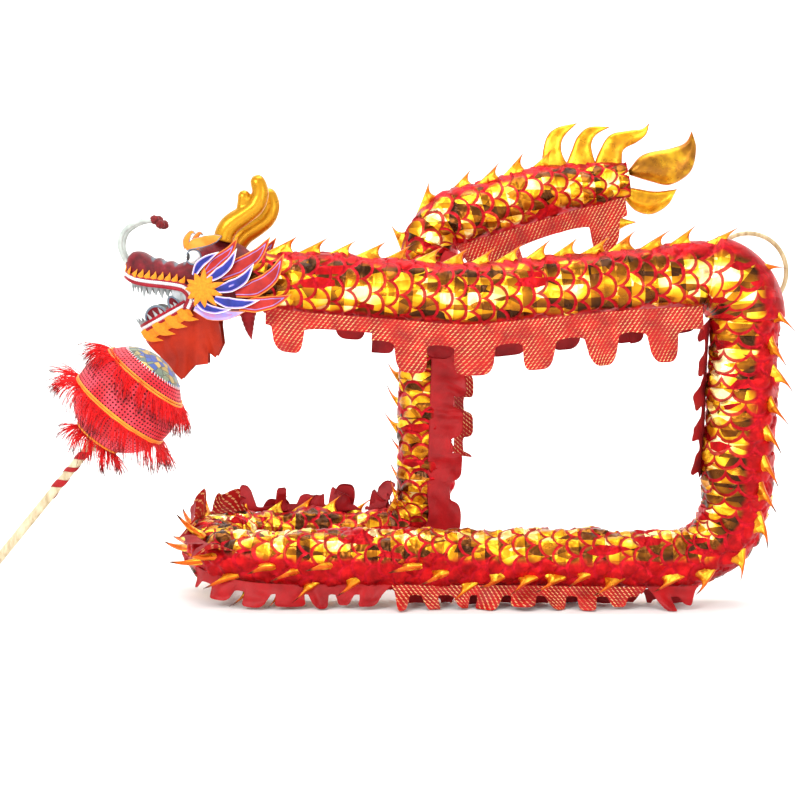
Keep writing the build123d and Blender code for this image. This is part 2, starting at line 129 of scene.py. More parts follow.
def spaced(points, count):
    """The same line with evenly spaced points."""
    along = lengths(points)
    at = np.linspace(0, along[-1], count)
    return np.stack([np.interp(at, along, points[:, k]) for k in range(points.shape[1])], axis=1)


def rounded(points, radii, step):
    """Straight runs joined by arcs, evenly spaced."""
    p = [np.array(q, float) for q in points]
    out = [p[0]]
    for before, corner, after, radius in zip(p, p[1:], p[2:], radii):
        a, b = unit(before - corner), unit(after - corner)
        half = math.acos(np.clip(a @ b, -1, 1)) / 2
        centre = corner + unit(a + b) * radius / math.sin(half)
        start = corner + a * radius / math.tan(half)
        end = corner + b * radius / math.tan(half)
        u, v = unit(start - centre), unit(end - centre)
        sweep_angle = math.acos(np.clip(u @ v, -1, 1))
        w = unit(v - u * (u @ v))
        for t in np.linspace(0, sweep_angle, 40):
            out.append(centre + radius * (u * math.cos(t) + w * math.sin(t)))
    out.append(p[-1])
    line = np.array(out)
    return spaced(line, int(lengths(line)[-1] / step))


def tangents(points):
    return unit(np.gradient(points, axis=0))


def carried(points, normal):
    """A normal carried along the line without twist."""
    t = tangents(points)
    normals = []
    n = np.array(normal, float)
    for direction in t:
        n = unit(n - direction * (n @ direction))
        normals.append(n)
    return t, np.array(normals)


def lattice_noise(p, seed=0):
    """Smooth random value from -1 to 1 at each point, one bump per unit."""
    cell = np.floor(p).astype(np.int64)
    part = p - cell
    part = part * part * (3 - 2 * part)
    total = 0
    for corner in np.ndindex(2, 2, 2):
        q = cell + corner
        key = (q[..., 0] * 73856093) ^ (q[..., 1] * 19349663) ^ (q[..., 2] * 83492791) ^ (seed * 2654435)
        key = (key ^ (key >> 13)) * 1274126177 & 0x7FFFFFFF
        key = (key ^ (key >> 15)) * 668265263 & 0x7FFFFFFF
        weight = np.prod(np.where(np.array(corner) == 1, part, 1 - part), axis=-1)
        total = total + weight * ((key & 0xFFFF) / 32767.5 - 1)
    return total


def creases(p, pitch, seed):
    """Crumpled foil: flat facets between sharp folds that run many ways, from -1 to 1."""
    ways = np.random.default_rng(seed)
    total = 0
    warp = lattice_noise(p / (pitch * 1.7), seed)
    for index in range(4):
        way = unit(ways.normal(size=3))
        phase = p @ way / (pitch * (0.75 + 0.25 * index)) + 0.9 * warp + ways.random()
        total = total + (np.abs((phase % 1) - 0.5) * 4 - 1) * 0.25
        warp = lattice_noise(p / (pitch * 1.3), seed + index + 5)
    return total


# ---- Meshes ----------------------------------------------------------------------------

class Shape:
    """Patches of one piece, gathered into a mesh. A UV's second value is often a real distance."""

    def __init__(self):
        self.verts, self.faces, self.uvs, self.slots, self.count = [], [], [], [], 0

    def patch(self, points, wrap=False, uv=None, slot=0, flip=False):
        """Grid of quads over points[rows, columns]; wrap closes each row into a ring."""
        rows, columns = points.shape[:2]
        across = columns if wrap else columns - 1
        i, j = (a.ravel() for a in np.meshgrid(np.arange(rows - 1), np.arange(across), indexing="ij"))
        k = (j + 1) % columns
        faces = np.stack([i * columns + j, i * columns + k, (i + 1) * columns + k, (i + 1) * columns + j], 1)
        if uv is None:
            uv = np.zeros((rows, columns + 1, 2))
        elif uv.shape[1] == columns and wrap:
            uv = np.concatenate([uv, uv[:, :1]], axis=1)
        loops = np.stack([uv[i, j], uv[i, j + 1], uv[i + 1, j + 1], uv[i + 1, j]], 1) if across else uv
        if flip:
            faces, loops = faces[:, ::-1], loops[:, ::-1]
        self.add(points.reshape(-1, 3), faces, loops, slot)

    def add(self, verts, faces, loops, slot=0):
        self.verts.append(np.asarray(verts, float))
        self.faces += (np.asarray(faces) + self.count).tolist()
        self.uvs.append(np.asarray(loops, float).reshape(-1, 2))
        self.slots += [slot] * len(faces)
        self.count += len(verts)

    def cap(self, ring, uv=(0, 0), slot=0, flip=False):
        """Fan that closes a ring of points."""
        n = len(ring)
        verts = np.vstack([ring, ring.mean(axis=0)])
        faces = [(k, (k + 1) % n, n) for k in range(n)]
        if flip:
            faces = [face[::-1] for face in faces]
        self.add(verts, faces, np.tile(np.array(uv, float), (3 * n, 1)), slot)

    def rings(self, centres, sides, normals, wide, thick, count=12, slot=0, along=None, power=1.0):
        """Closed body of elliptical rings. UV: way along, and distance in from the edge."""
        angle = np.linspace(0, 2 * math.pi, count, endpoint=False)
        c, s = signed_power(np.cos(angle), power), signed_power(np.sin(angle), power)
        sides, normals = (np.broadcast_to(x, centres.shape) for x in (sides, normals))
        wide, thick = (np.broadcast_to(np.asarray(x, float), (len(centres),)) for x in (wide, thick))
        points = (centres[:, None] + sides[:, None] * (wide[:, None] * c)[..., None]
                  + normals[:, None] * (thick[:, None] * s)[..., None])
        if along is None:
            along = lengths(centres)
        uv = stacked(along[:, None], wide[:, None] * (1 - np.abs(c)))
        self.patch(points, wrap=True, uv=uv, slot=slot)
        self.cap(points[0], uv[0, 0], slot, flip=True)
        self.cap(points[-1], uv[-1, 0], slot)

    def tube(self, points, radius, normal=UP, count=10, slot=0, flat=1.0):
        t, n = carried(points, normal)
        self.rings(points, np.cross(t, n), n, radius, np.asarray(radius) * flat, count, slot)

    def build(self, name, *materials):
        mesh = bpy.data.meshes.new(name)
        mesh.from_pydata(np.vstack(self.verts).tolist(), [], self.faces)
        layer = mesh.uv_layers.new(name="UVMap")
        layer.data.foreach_set("uv", np.vstack(self.uvs).astype(np.float32).ravel())
        for material in materials:
            mesh.materials.append(material)
        mesh.polygons.foreach_set("material_index", self.slots)
        mesh.polygons.foreach_set("use_smooth", [True] * len(mesh.polygons))
        mesh.update()
        made = bpy.data.objects.new(name, mesh)
        bpy.context.scene.collection.objects.link(made)
        return made


def leaf(shape, line, widths, thickness, normal, slot=0, count=16):
    """Padded leaf or flame along a line, in the plane square to the normal."""
    t, n = carried(line, normal)
    share = np.linspace(0, 1, len(line))
    wide = np.maximum(table(share, widths), 0.0006)
    deep = np.minimum(thickness * np.clip(wide / max(wide.max(), 1e-6), 0.08, 1) ** 0.5, wide)
    shape.rings(line, np.cross(t, n), n, wide, deep, count, slot)


def slab(shape, points, normals, thick, uv=None, outer=0, inner=0):
    """Closed sheet of a given thickness over a grid of points, with its own back and rims.

    There is one normal for all points, one a row, or one a point.
    """
    normals = np.broadcast_to(normals[:, None] if normals.ndim == 2 else normals, points.shape)
    outside, inside = points + normals * (thick / 2), points - normals * (thick / 2)
    across = np.cross(np.gradient(points, axis=0), np.gradient(points, axis=1))
    turned = bool(np.sum(across * normals, -1).mean() < 0)
    shape.patch(outside, uv=uv, slot=outer, flip=turned)
    shape.patch(inside, uv=uv, slot=inner, flip=not turned)
    for edge, way in ((np.s_[:, 0], True), (np.s_[:, -1], False), (np.s_[0], False), (np.s_[-1], True)):
        rim = np.stack([outside[edge], inside[edge]], 1)
        shape.patch(rim, slot=inner, flip=way == turned)


def welded(piece, distance=0.0001):
    """Joins the points that the patches of a piece share."""
    piece.modifiers.new("weld", "WELD").merge_threshold = distance
    return settled(piece)


def settled(piece):
    """Keeps what the modifiers of a piece make as its own mesh."""
    bpy.context.view_layer.update()
    made = bpy.data.meshes.new_from_object(piece.evaluated_get(bpy.context.evaluated_depsgraph_get()))
    piece.modifiers.clear()
    piece.data = made
    return piece


def merged(piece, voxel):
    """One closed skin over overlapping padded parts."""
    remesh = piece.modifiers.new("remesh", "REMESH")
    remesh.mode = "VOXEL"
    remesh.voxel_size = voxel
    remesh.use_smooth_shade = True
    relax = piece.modifiers.new("relax", "SMOOTH")
    relax.iterations = 12
    return settled(piece)


def soft(x, keys):
    """Like table, but without corners."""
    line = curve([(place, 0, value) for place, value in keys], 300)
    return np.interp(x, line[:, 0], line[:, 2])


def placed(piece, body, nodes=()):
    """Puts a finished piece on its body, and hides the CAD nodes it stands for."""
    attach(piece, body)
    if nodes:
        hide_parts(*nodes)
    return piece


# ---- Materials ---------------------------------------------------------------------------

def linear(hex_colour):
    parts = [int(hex_colour[k:k + 2], 16) / 255 for k in (1, 3, 5)]
    return tuple(x / 12.92 if x < 0.04045 else ((x + 0.055) / 1.055) ** 2.4 for x in parts) + (1,)


def arithmetic(operation, swapped=False):
    """Method of a Wire that adds one Math node."""
    def apply(self, *others):
        values = (*others, self) if swapped else (self, *others)
        return self.paint.math(operation, *values)
    return apply


class Wire:
    """Output of a shader node; arithmetic on it adds Math nodes."""

    def __init__(self, paint, socket):
        self.paint = paint
        self.socket = socket

    __add__ = arithmetic("ADD")
    __radd__ = arithmetic("ADD", swapped=True)
    __sub__ = arithmetic("SUBTRACT")
    __rsub__ = arithmetic("SUBTRACT", swapped=True)
    __mul__ = arithmetic("MULTIPLY")
    __truediv__ = arithmetic("DIVIDE")
    __pow__ = arithmetic("POWER")
    __abs__ = arithmetic("ABSOLUTE")
    floor = arithmetic("FLOOR")
    ceil = arithmetic("CEIL")
    fract = arithmetic("FRACT")
    root = arithmetic("SQRT")
    round = arithmetic("ROUND")
    cosine = arithmetic("COSINE")
    below = arithmetic("LESS_THAN")
    or_more = arithmetic("MAXIMUM")


class Paint:
    """Node tree of one procedural material."""

    def __init__(self, name, **values):
        self.material = bpy.data.materials.new(name)
        self.material.use_nodes = True
        self.tree = self.material.node_tree
        self.shader = self.tree.nodes["Principled BSDF"]
        for key, value in values.items():
            self.shader.inputs[key.replace("_", " ")].default_value = value

    def node(self, kind, inputs=None, **settings):
        made = self.tree.nodes.new("ShaderNode" + kind)
        for key, value in settings.items():
            setattr(made, key, value)
        for key, value in (inputs or {}).items():
            self.feed(made.inputs[key], value)
        return made

    def wire(self, kind, inputs=None, output=0, **settings):
        """Adds a node and gives one of its outputs."""
        return Wire(self, self.node(kind, inputs, **settings).outputs[output])

    def feed(self, socket, value):
        if isinstance(value, Wire):
            self.tree.links.new(value.socket, socket)
        else:
            socket.default_value = value

    def math(self, operation, *values):
        return self.wire("Math", dict(enumerate(values)), operation=operation)

    def parts(self, value, kind="Color"):
        """The channels of a colour, or the values of a vector when kind is XYZ."""
        made = self.node("Separate" + kind, {0: value})
        return [Wire(self, socket) for socket in made.outputs]

    def object_place(self):
        return self.wire("TexCoord", output="Object")

    def uv(self):
        return self.parts(self.wire("TexCoord", output="UV"), "XYZ")[:2]

    def noise(self, scale, detail=2.0, roughness=0.5, stretch=None):
        where = self.object_place()
        if stretch:
            where = self.wire("Mapping", {"Vector": where, "Scale": stretch})
        inputs = {"Vector": where, "Scale": scale, "Detail": detail, "Roughness": roughness}
        return self.wire("TexNoise", inputs, "Fac")

    def cells(self, scale, feature="F1", output="Color", where=None):
        inputs = {"Vector": where or self.object_place(), "Scale": scale, "Randomness": 1.0}
        return self.wire("TexVoronoi", inputs, output, feature=feature)

    def step(self, value, low, high):
        """0 below low, 1 above high, smooth between."""
        inputs = {"Value": value, "From Min": low, "From Max": high}
        return self.wire("MapRange", inputs, interpolation_type="SMOOTHSTEP")

    def ramp(self, value, *stops):
        made = self.node("ValToRGB", {"Fac": value})
        band = made.color_ramp
        while len(band.elements) < len(stops):
            band.elements.new(0.5)
        for element, (place, colour) in zip(band.elements, stops):
            element.position = place
            element.color = linear(colour)
        return Wire(self, made.outputs[0])

    def mix(self, share, a, b):
        made = self.node("Mix", data_type="RGBA")
        sockets = [s for s in made.inputs if s.type == "RGBA"]
        self.feed(made.inputs["Factor"], share)
        self.feed(sockets[0], linear(a) if isinstance(a, str) else a)
        self.feed(sockets[1], linear(b) if isinstance(b, str) else b)
        return Wire(self, [s for s in made.outputs if s.type == "RGBA"][0])

    def finish(self, colour, roughness=None, height=None, depth=0.001, strength=1.0, normal=None):
        """Wires the shader up; height is a bump of the given depth in metres."""
        self.feed(self.shader.inputs["Base Color"], colour)
        if roughness is not None:
            self.feed(self.shader.inputs["Roughness"], roughness)
        inputs = {"Height": height, "Distance": depth, "Strength": strength}
        if normal is not None:
            inputs["Normal"] = normal
        self.feed(self.shader.inputs["Normal"], self.wire("Bump", inputs))
        return self.material

    def tilted(self, colour, amount):
        """Surface normal tilted by a random colour, for foil facets."""
        centred = self.wire("VectorMath", {0: colour, 1: (0.5, 0.5, 0.5)}, operation="SUBTRACT")
        scaled = self.wire("VectorMath", {0: centred, "Scale": amount}, operation="SCALE")
        base = self.wire("NewGeometry", output="Normal")
        added = self.wire("VectorMath", {0: base, 1: scaled}, operation="ADD")
        return self.wire("VectorMath", {0: added}, operation="NORMALIZE")


def scale_foil():
    """Gold foil printed with a crimson net of fish scales; red along the back and on the belly; the gold has
    painted reflections and a painted lit band.
    """
    paint = Paint("scale_foil", Metallic=0.8, Roughness=0.3)
    u, v = paint.uv()
    k = ((u - ARC) / ROW).ceil()
    ahead = u - k * ROW
    odd = (k * 0.5).fract()
    shifted = v + odd + 0.5
    beside = abs(shifted.fract() - 0.5)

    def span(a, b):
        return (a ** 2.0 + b ** 2.0).root()

    first = span(abs(ahead), beside)
    second = span(abs(ahead - ROW), 0.5 - beside)
    inside = first.below(ARC)
    outside = 1.0 - inside
    radius = first * inside + second * outside
    ragged = abs(ARC - radius) - paint.noise(70.0) * 0.05 - paint.noise(8.0) * 0.09
    net = 1.0 - paint.step(ragged, 0.035, 0.065)

    column = shifted.floor() * inside + (v - odd + 1.0).floor() * outside
    scale_id = paint.wire("CombineXYZ", {0: k + outside, 1: column, 2: outside})
    chance = paint.wire("TexWhiteNoise", {"Vector": scale_id}, "Value", noise_dimensions="3D")
    # The slanted, stretched cells (slivers) paint elongated glints on the gold, and the gold ramp runs from
    # dark brown painted reflections up to near-white painted highlights.
    slanted = {"Vector": paint.object_place(), "Rotation": (0.5, 0.6, 0.35), "Scale": (0.7, 1.0, 2.4)}
    slivers = paint.cells(17.0, where=paint.wire("Mapping", slanted))
    bright, _, pick = paint.parts(slivers)
    around = abs((v / AROUND).fract() - 0.5)
    # middle is a painted lit band along each flank of the tube, brighter where the lights fall.
    middle = 1.0 - abs((around - 0.26) / 0.2)
    tone = chance * 0.3 + bright * 0.34 + paint.noise(10.0) * 0.5 + middle * 0.28
    gold = paint.ramp(tone, (0.54, "#3A1C02"), (0.66, "#6E3A04"), (0.75, "#AC6606"), (0.83, "#E89E0A"),
                      (0.91, "#FFD22E"), (1.0, "#FFF4B0"))
    edge_noise = paint.noise(15.0) * 0.1
    back = paint.step(around + edge_noise, 0.435, 0.475)
    belly = 1.0 - paint.step(around - edge_noise, 0.06, 0.09)
    film = paint.ramp(paint.noise(26.0, 3.0), (0.3, "#8E040A"), (0.55, "#B8080E"), (0.75, "#DC1218"))
    red = back.or_more(belly).or_more(pick.below(0.1))
    net_colour = paint.ramp(paint.noise(60.0), (0.3, "#9A0412"), (0.7, "#C80A20"))
    colour = paint.mix(net * 0.95, paint.mix(red, gold, film), net_colour)
    rough = 0.22 + (paint.noise(40.0) + net.or_more(red)) * 0.14
    normal = paint.tilted(paint.mix(0.5, paint.cells(15.0), slivers), 0.5)
    return paint.finish(colour, rough, paint.noise(130.0), 0.0008, 0.4, normal)


def gold_foil(name, low, mid, high, rim_colour, rim_width, tilt, facets, tip_colour=None):
    """Folded or stuffed gold foil; its rim, and its tip if it has one, turn to another colour."""
    paint = Paint(name, Metallic=0.7, Roughness=0.28)
    along, distance = paint.uv()
    tone = paint.noise(20.0) * (1.0 - facets) + paint.parts(paint.cells(45.0))[0] * facets
    colour = paint.ramp(tone, (0.25, low), (0.48, mid), (0.7, high))
    rim = 1.0 - paint.step(distance, rim_width * 0.4, rim_width)
    colour = paint.mix(rim, colour, rim_colour)
    if tip_colour:
        warm = paint.step(along + paint.noise(30.0) * 0.3, 0.45, 0.75)
        colour = paint.mix(warm * 0.8, colour, rim_colour)
        dark = paint.step(along + paint.noise(30.0) * 0.2, 0.85, 1.0)
        colour = paint.mix(dark, colour, tip_colour)
    normal = paint.tilted(paint.cells(50.0), tilt)
    return paint.finish(colour, 0.2 + paint.noise(60.0) * 0.2, paint.noise(90.0, 3.0), 0.0012, 0.5, normal)


def sequin_cloth():
    """Coral satin woven with slanting pale gold dashes."""
    paint = Paint("sequin_cloth", Roughness=0.45, Specular_IOR_Level=0.3)
    pitch_along, pitch_down = 0.0136, 0.0088
    to_millimetres = 1000
    u, v = paint.uv()
    row = v / pitch_down
    shift = (row.floor() * 0.5).fract()
    x = (u / pitch_along + shift).fract() - 0.5
    y = row.fract() - 0.5
    wide, high = x * (pitch_along * to_millimetres), y * (pitch_down * to_millimetres)
    along = wide * 0.77 - high * 0.64
    across = wide * 0.64 + high * 0.77
    reach = 1.0 - paint.step(abs(along), 3.6, 4.8)
    slim = 1.0 - paint.step(abs(across), 1.0, 1.9)
    dash = reach * slim
    shine = paint.step(paint.noise(13.0), 0.36, 0.62)
    ground = paint.ramp(paint.noise(24.0), (0.3, "#92040A"), (0.7, "#C40E0C"))
    pale = paint.ramp(paint.noise(300.0), (0.35, "#E88456"), (0.62, "#FFE09A"))
    colour = paint.mix(dash * (0.25 + shine * 0.7), ground, pale)
    return paint.finish(colour, 0.5 - dash * 0.25, dash, 0.0012, 0.7)


def cloth(name, low, high, sheen=0.25, folds=18.0, rough=0.6):
    """Plain woven cloth with soft changes of tone and a fine weave."""
    paint = Paint(name, Roughness=rough, Sheen_Weight=sheen * 0.2, Specular_IOR_Level=0.28)
    colour = paint.ramp(paint.noise(folds, 3.0), (0.32, low), (0.68, high))
    warp = paint.noise(900.0, 1.0, stretch=(1.0, 1.0, 0.15))
    weft = paint.noise(900.0, 1.0, stretch=(0.15, 1.0, 1.0))
    colour = paint.mix(0.25, colour, paint.ramp(warp, (0.35, low), (0.65, high)))
    return paint.finish(colour, rough - 0.1 + weft * 0.2, warp + weft, 0.0006, 0.5)


def felt(name, low, high):
    """Pressed felt: fuzzy, matt, with short fibres."""
    paint = Paint(name, Roughness=0.85, Sheen_Weight=0.12, Sheen_Roughness=0.5)
    colour = paint.ramp(paint.noise(160.0, 4.0, roughness=0.7), (0.3, low), (0.7, high))
    fibres = paint.noise(420.0, 3.0, roughness=0.8)
    return paint.finish(colour, 0.75 + paint.noise(300.0) * 0.2, fibres, 0.0008, 0.6)


def banded(name, bands, rough=0.5):
    """Satin leaf with lines of other colours at set distances in from its rim."""
    paint = Paint(name, Roughness=rough, Sheen_Weight=0.05, Specular_IOR_Level=0.3)
    wobble = paint.uv()[1] + paint.noise(90.0) * 0.0014
    colour = None
    for start, low, high in bands:
        tone = paint.ramp(paint.noise(28.0 if start < 0.012 else 16.0, 3.0), (0.35, low), (0.65, high))
        colour = paint.mix(paint.step(wobble, start, start + 0.0008), colour, tone) if colour else tone
    weave = paint.noise(700.0, 1.0, stretch=(1.0, 1.0, 0.2))
    return paint.finish(colour, rough - 0.1 + weave * 0.2, weave, 0.0006, 0.5)


def brocade():
    """Generic brocade: blue and gold patches with dark outlines."""
    paint = Paint("brocade", Roughness=0.45, Sheen_Weight=0.3)
    patches = 52.0
    pick = paint.parts(paint.cells(patches))[0]
    near = paint.cells(patches, "DISTANCE_TO_EDGE", "Distance")
    colour = paint.ramp(pick, (0.0, "#123C8C"), (0.34, "#1E55B0"), (0.36, "#8E7A3A"), (0.62, "#C8A850"),
                        (0.64, "#3E5A58"), (1.0, "#7E8C6A"))
    colour = paint.mix(paint.step(near, 0.02, 0.07), "#2A2A1C", colour)
    weave = paint.noise(800.0, 1.0, stretch=(1.0, 0.2, 1.0))
    return paint.finish(colour, 0.35 + weave * 0.25, weave, 0.0006, 0.5)


def wood(name, low, high, stretch):
    """Peeled stick or bent rod with long grain."""
    paint = Paint(name, Roughness=0.55)
    grain = paint.noise(55.0, 4.0, stretch=stretch, roughness=0.65)
    spots = paint.step(paint.noise(26.0), 0.6, 0.72)
    colour = paint.mix(spots * 0.35, paint.ramp(grain, (0.35, low), (0.65, high)), low)
    return paint.finish(colour, 0.45 + grain * 0.25, grain, 0.0008, 0.5)


def plastic(name, low, high, rough=0.35, **values):
    """Smooth plastic with faint unevenness."""
    paint = Paint(name, **values)
    colour = paint.ramp(paint.noise(40.0), (0.35, low), (0.65, high))
    return paint.finish(colour, rough + paint.noise(120.0) * 0.1, paint.noise(300.0), 0.0002, 0.3)


def head_cloth():
    """Maroon brocade of the snout and skull, with grey-blue shade in its hollows."""
    paint = Paint("head_cloth", Roughness=0.5, Sheen_Weight=0.04, Specular_IOR_Level=0.3)
    shade = paint.uv()[1]
    colour = paint.ramp(paint.noise(34.0, 3.0), (0.3, "#4A0410"), (0.55, "#740A18"), (0.75, "#921628"))
    figure = paint.step(paint.cells(150.0, output="Distance"), 0.32, 0.4)
    colour = paint.mix((1.0 - figure) * 0.35, colour, "#4A0612")
    colour = paint.mix(paint.step(shade, 0.2, 0.9), colour, "#5E6670")
    weave = paint.noise(800.0, 1.0, stretch=(0.2, 1.0, 1.0))
    return paint.finish(colour, 0.4 + weave * 0.25, weave, 0.0006, 0.5)


def fringe_thread():
    """Shiny red thread, dark towards its tip."""
    paint = Paint("fringe_thread", Roughness=0.5, Specular_IOR_Level=0.3)
    along = paint.uv()[0]
    tone = paint.ramp(paint.noise(60.0), (0.3, "#D2060C"), (0.7, "#FF1216"))
    colour = paint.mix(paint.step(along + paint.noise(90.0) * 0.5, 0.9, 1.2), tone, "#4A0408")
    return paint.finish(colour, 0.4 + paint.noise(200.0) * 0.2, paint.noise(700.0), 0.0003, 0.4)


def pearl_net():
    """Stretched net over a red ball: rows of small dark holes between threads."""
    paint = Paint("pearl_net", Roughness=0.45, Specular_IOR_Level=0.35)
    turn, lat = paint.uv()
    pitch = 0.0105
    row = lat / (pitch / PEARL_RADIUS)
    level = (row.floor() + 0.5) * (pitch / PEARL_RADIUS)
    holes = (level.cosine() * (2 * math.pi * PEARL_RADIUS / pitch)).round()
    x = (turn * holes).fract() - 0.5
    y = row.fract() - 0.5
    thread = paint.step((x * x + y * y).root(), 0.22, 0.32)
    base = paint.ramp(paint.noise(14.0), (0.35, "#CC1424"), (0.65, "#F0485A"))
    return paint.finish(paint.mix(thread, "#4A0208", base), 0.8 - thread * 0.35, thread, 0.0015, 0.8)


FOIL = scale_foil()
FIN_FOIL = gold_foil("fin_foil", "#B05A08", "#F0A414", "#FFE040", "#D8600C", 0.003, 0.4, 0.4, "#5E2606")
HORN_FOIL = gold_foil("horn_foil", "#D28C0A", "#FFC424", "#FFEE70", "#C88A10", 0.0002, 0.03, 0.0)
FLAME_FOIL = gold_foil("flame_foil", "#9A5808", "#E2A012", "#FFE03A", "#C4600C", 0.0045, 0.05, 0.05)
PLUME_FOIL = gold_foil("plume_foil", "#6A3C08", "#A86C10", "#E8B020", "#C4600C", 0.0045, 0.05, 0.05)
SEQUIN = sequin_cloth()
LINING = cloth("lining_cloth", "#7A040C", "#A80812")
RED_SATIN = cloth("red_satin", "#8A040A", "#B80A12", sheen=0.2, rough=0.42)
WOOD = wood("hoop_wood", "#A68A5E", "#D8C39A", (1.0, 1.0, 0.2))
HEAD_CLOTH = head_cloth()
ORANGE_FELT = felt("orange_felt", "#F07C06", "#FF9E18")
TEETH_FOAM = cloth("teeth_foam", "#8C9698", "#B4BCBC", sheen=0.05)
MAROON = cloth("maroon_cloth", "#4A0410", "#7A0A1C")
BEARD_CLOTH = cloth("beard_cloth", "#901C04", "#C02E08", sheen=0.2, folds=14.0)
CRIMSON_PIPING = cloth("crimson_piping", "#80061A", "#AE0C26", sheen=0.3, rough=0.45)
BRAID = felt("white_braid", "#C8C4C8", "#F4F2F4")
WHITE_CLOTH = cloth("white_cloth", "#A6B0B4", "#CCD4D6", sheen=0.2)
BLUE_GREY = cloth("blue_grey_piping", "#4C5A6A", "#7C8CA0")
MANE_RED = banded("mane_red", (
    (0.0, "#E8701A", "#FF9430"), (0.0032, "#A4160C", "#C42818"), (0.0078, "#7C6AB4", "#A890D0"),
    (0.0102, "#98100C", "#C02418")))
MANE_BLUE = banded("mane_blue", (
    (0.0, "#F2F2FA", "#FFFFFF"), (0.0022, "#9A86DC", "#C4A8F0"), (0.0054, "#141A6A", "#22309A"),
    (0.0155, "#A08ADC", "#C8B0F0")))
MANE_LILAC = banded("mane_lilac", (
    (0.0, "#E88A50", "#F4A878"), (0.002, "#A890D8", "#C8B4EC"), (0.009, "#B878A8", "#8A86D0")))


# ---- Camera, light, floor -------------------------------------------------------------------

AXIS = JOINT["base_bend"][1]
EYE_X = JOINT["front_bend"][0] - 0.2
EYE_HEIGHT = 1.041
AIM_HEIGHT = 0.621
EYE_DISTANCE = 5.0
VIEW_WIDTH = 2.4

camera = bpy.data.objects.new("camera", bpy.data.cameras.new("camera"))
bpy.context.scene.collection.objects.link(camera)
eye = Vector((EYE_X, AXIS - EYE_DISTANCE, EYE_HEIGHT))
aim = Vector((EYE_X, AXIS, AIM_HEIGHT))
camera.location = eye
camera.rotation_euler = (aim - eye).to_track_quat("-Z", "Y").to_euler()
camera.data.sensor_width = 36
camera.data.lens = 36 * (aim - eye).length / VIEW_WIDTH
bpy.context.scene.camera = camera


def softbox(name, place, target, size, power, colour=(1, 1, 1)):
    light = bpy.data.lights.new(name, "AREA")
    light.shape = "RECTANGLE"
    light.size, light.size_y = size
    light.energy = power
    light.color = colour
    made = bpy.data.objects.new(name, light)
    made.location = place
    made.rotation_euler = (Vector(target) - Vector(place)).to_track_quat("-Z", "Y").to_euler()
    bpy.context.scene.collection.objects.link(made)


def stage():
    """Pale floor that curves up into a wall all round, and soft lights inside it."""
    floor_reach, wall_curve, wall_top = 5.6, 2.6, 7.5
    just_below = 0.0005
    profile = [(r, 0.0) for r in np.linspace(0.05, floor_reach, 24)]
    for t in np.linspace(0.03, math.pi / 2, 30):
        profile.append((floor_reach + wall_curve * math.sin(t), wall_curve * (1 - math.cos(t))))
    profile.append((floor_reach + wall_curve, wall_top))
    turn = np.linspace(0, 2 * math.pi, 97)[:-1]
    points = np.array([
        [(EYE_X + r * math.cos(a), AXIS + r * math.sin(a), z - just_below) for a in turn]
        for r, z in profile])
    sweep = Shape()
    sweep.patch(points, wrap=True)
    sweep.cap(points[0], flip=True)
    paint = Paint("studio_paper", Roughness=0.9)
    paper = paint.finish(paint.ramp(paint.noise(3.0), (0.3, "#F6F6F5"), (0.7, "#FAFAF9")),
                         height=paint.noise(220.0, 3.0), depth=0.0005, strength=0.2)
    sweep.build("studio_sweep", paper)
    middle = (EYE_X, AXIS, 0.7)
    softbox("key", (-2.4, -3.4, 2.8), middle, (1.8, 1.2), 88)
    softbox("fill", (3.2, -3.6, 1.5), middle, (1.2, 2.2), 42)
    softbox("top", (0.3, -0.4, 4.2), middle, (3.0, 1.4), 60)
    softbox("low", (0.2, -4.8, 0.5), middle, (3.0, 0.4), 22)
    softbox("backdrop", (0, 2.0, 5.6), (0, 7.0, 1.2), (7.0, 1.6), 420)
    world = bpy.data.worlds.new("studio")
    world.use_nodes = True
    background = world.node_tree.nodes["Background"]
    background.inputs["Color"].default_value = (1.0, 1.0, 1.0, 1)
    background.inputs["Strength"].default_value = 0.9
    bpy.context.scene.world = world
    bpy.context.scene.view_settings.view_transform = "Standard"


stage()


# ---- The body's line ---------------------------------------------------------------------------

STEP = 0.0045           # spacing of the cover's rows
NECK_INSET = 0.1        # how far the neck's cloth runs on into the head
CORNER_DROP = 0.192     # from the joint at the top corner up to the corner itself
STRAND_HEIGHT = 0.81    # from the joint at the strand's foot up to its top corner
neck_way = unit(JOINT["front_bend"] - JOINT["head_yaw"])
upright_way = unit(JOINT["upright_lean"] - JOINT["top_corner_bend"])
floor_z = JOINT["base_bend"][2]
top_corner = JOINT["top_corner_bend"] - upright_way * CORNER_DROP
base_corner = JOINT["upright_lean"] + upright_way * ((floor_z - JOINT["upright_lean"][2]) / upright_way[2])
coil_radius = (JOINT["coil_back_bend"][1] - AXIS) / 2
coil_left = JOINT["coil_front_bend"][0] - 0.043 - coil_radius
back_y = JOINT["coil_back_bend"][1]
tail_middle = JOINT["tail_sway"] + vec(0.245, 0, 0.069)
tail_end = JOINT["tail_sway"] + vec(0.484, 0, 0.105)
strand_top = JOINT["strand_lean"] + vec(0.012, 0, STRAND_HEIGHT)
LINE = rounded(
    [JOINT["head_yaw"] - neck_way * NECK_INSET, JOINT["front_bend"], top_corner, base_corner,
     vec(coil_left, AXIS, floor_z), vec(coil_left, back_y, floor_z),
     vec(JOINT["strand_lean"][0], back_y, floor_z), strand_top, JOINT["tail_sway"], tail_middle, tail_end],
    [0.8, 0.13, 0.19, coil_radius, coil_radius - 0.001, 0.13, 0.13, 0.6, 0.9], STEP)
ALONG = lengths(LINE)
TANGENT = tangents(LINE)


def station(point):
    """How far along the body the nearest place to a point is."""
    return ALONG[np.argmin(np.linalg.norm(LINE - point, axis=1))]


